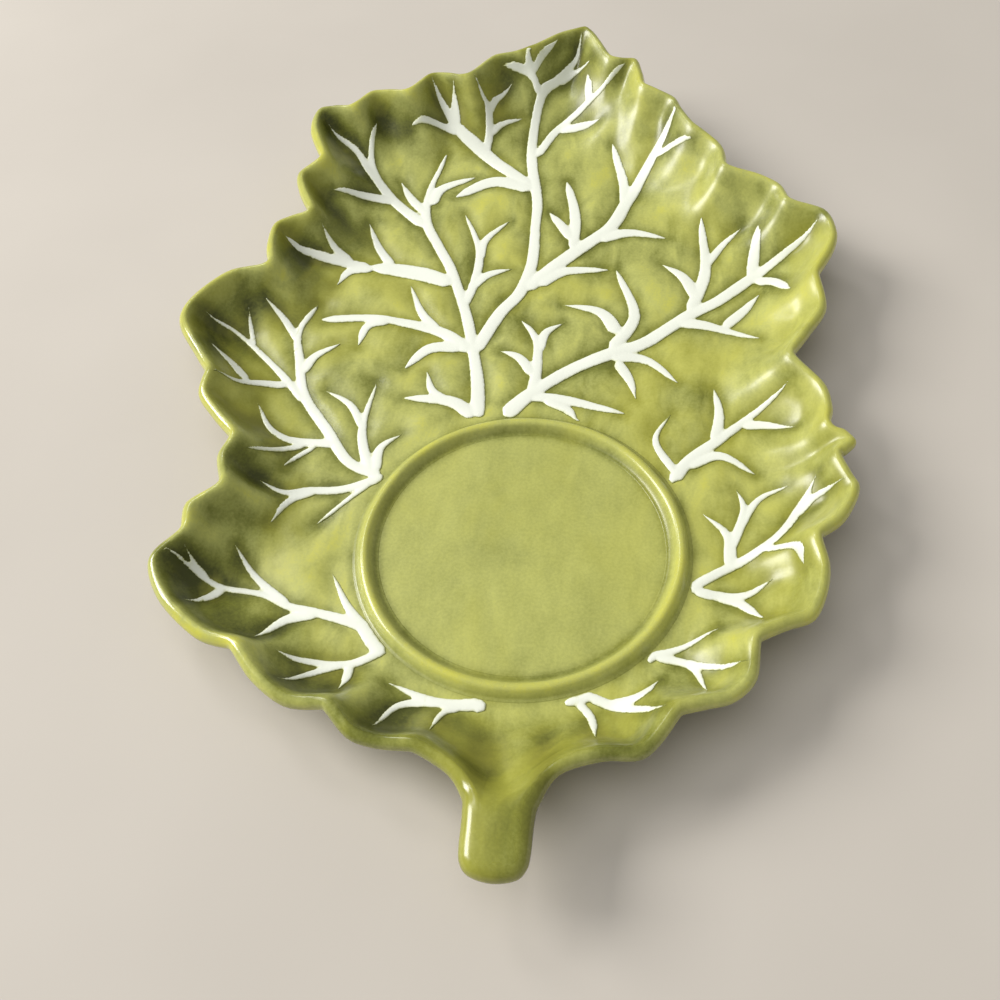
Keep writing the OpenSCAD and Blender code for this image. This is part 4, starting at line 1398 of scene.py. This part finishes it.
@dataclass(frozen=True)
class PaleFloor:
    """The plain pale table top that the plate stands on for its picture."""

    tone: Colour = (194, 187, 177)
    lighter: Colour = (200, 193, 183)
    drift: Grain = Grain(9.0, 3.0)
    size: float = 4.0

    def build(self) -> None:
        """Lays the floor."""
        bench = NodeBench("pale_floor")
        drift = bench.swing(self.drift, 0.0, 1.0)
        bench.wear("Base Color", bench.blend(drift, paint(self.tone), paint(self.lighter)))
        bench.settle(roughness=0.75)
        bm = bmesh.new()
        bmesh.ops.create_grid(bm, x_segments=2, y_segments=2, size=self.size / 2)
        mesh = bpy.data.meshes.new("floor")
        bm.to_mesh(mesh)
        bm.free()
        floor = bpy.data.objects.new("floor", mesh)
        mesh.materials.append(bench.material)
        bpy.context.scene.collection.objects.link(floor)


@dataclass(frozen=True)
class Lamp:
    """One soft rectangular light that faces the plate, with its sizes in metres."""

    name: str
    place: Place
    watts: float
    width: float
    height: float
    tint: Place = (1.0, 1.0, 1.0)
    mirrored: bool = True

    def hang(self) -> None:
        """Hangs the light and turns it to the plate."""
        data = bpy.data.lights.new(self.name, "AREA")
        data.shape = "RECTANGLE"
        data.size, data.size_y = self.width, self.height
        data.energy = self.watts
        data.color = self.tint
        lamp = bpy.data.objects.new(self.name, data)
        lamp.location = self.place
        lamp.rotation_euler = (-Vector(self.place)).to_track_quat("-Z", "Y").to_euler()
        lamp.visible_glossy = self.mirrored
        bpy.context.scene.collection.objects.link(lamp)


LAMPS = (
    Lamp("window", (-1.9, 0.3, 1.35), 52.0, 1.1, 1.0, (1.0, 0.985, 0.96)),
    Lamp("pane", (-1.0, 1.0, 1.5), 5.0, 0.4, 0.5),
    Lamp("softbox", (-0.4, -0.5, 2.1), 23.0, 2.2, 2.2, mirrored=False),
)


@dataclass(frozen=True)
class Studio:
    """Floor, lights, pale surroundings and the camera at the photograph's angle."""

    camera_mm: Place = (32.2, -205.7, 229.0)
    pitch: float = 53.85
    roll: float = -4.8
    yaw: float = 10.0
    lens: float = 37.8
    sensor: float = 36.0
    nearest: float = 0.01
    sky: Place = (1.0, 1.0, 0.98)
    fill: float = 0.22
    backdrop: float = 0.9

    def set_up(self) -> None:
        """Builds the whole studio."""
        PaleFloor().build()
        for lamp in LAMPS:
            lamp.hang()
        self._surroundings()
        self._camera()
        bpy.context.scene.view_settings.view_transform = "Standard"

    def _surroundings(self) -> None:
        """A pale even light from all round, which the lens sees as white."""
        world = bpy.data.worlds.new("surroundings")
        bpy.context.scene.world = world
        world.use_nodes = True
        tree = world.node_tree
        tree.nodes.clear()
        pick = tree.nodes.new("ShaderNodeMixShader")
        seen = tree.nodes.new("ShaderNodeLightPath")
        tree.links.new(seen.outputs["Is Camera Ray"], pick.inputs[0])
        lights = ((self.sky, self.fill), ((1.0, 1.0, 1.0), self.backdrop))
        for i, (tone, strength) in enumerate(lights):
            even = tree.nodes.new("ShaderNodeBackground")
            even.inputs["Color"].default_value = (*tone, 1.0)
            even.inputs["Strength"].default_value = strength
            tree.links.new(even.outputs[0], pick.inputs[i + 1])
        out = tree.nodes.new("ShaderNodeOutputWorld")
        tree.links.new(pick.outputs[0], out.inputs["Surface"])

    def _camera(self) -> None:
        """Places the camera where the photograph was taken from."""
        data = bpy.data.cameras.new("camera")
        data.sensor_width = self.sensor
        data.lens = self.lens
        data.clip_start = self.nearest
        pitch, roll, yaw = (math.radians(a) for a in (self.pitch, self.roll, self.yaw))
        look = Vector((0.0, math.cos(pitch), -math.sin(pitch)))
        right = Vector((1.0, 0.0, 0.0))
        up = right.cross(look)
        across = math.cos(roll) * right + math.sin(roll) * up
        above = -math.sin(roll) * right + math.cos(roll) * up
        turned = Matrix((across, above, -look)).transposed()
        place = Matrix.Rotation(yaw, 3, "Z") @ turned
        camera = bpy.data.objects.new("camera", data)
        camera.matrix_world = Matrix.Translation(Vector(self.camera_mm) * MM) @ place.to_4x4()
        bpy.context.scene.collection.objects.link(camera)
        bpy.context.scene.camera = camera


def dress_foot(frame: dict, clay: bpy.types.Material) -> None:
    """Gives the CAD foot ring its clay."""
    foot = frame["nodes"]["foot_ring"]
    foot.data.materials.clear()
    foot.data.materials.append(clay)
    log.info("foot_ring: CAD solid dressed in bare clay")


def main() -> None:
    """Builds the plate's pieces in order, dresses them and sets up the studio."""
    logging.basicConfig(level=logging.INFO, format="%(name)s: %(message)s")
    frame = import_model()
    shape = LeafShape(LeafSizes())
    glaze = GreenGlaze().make()
    LeafCasting(shape).build(glaze)
    DipRing(shape).build(glaze)
    enamel = WhiteEnamel().make()
    for name, strokes in SPRAYS.items():
        VeinSpray(shape, name, strokes).build(enamel)
    dress_foot(frame, BareClay().make())
    Studio().set_up()


if __name__ == "__main__":
    main()
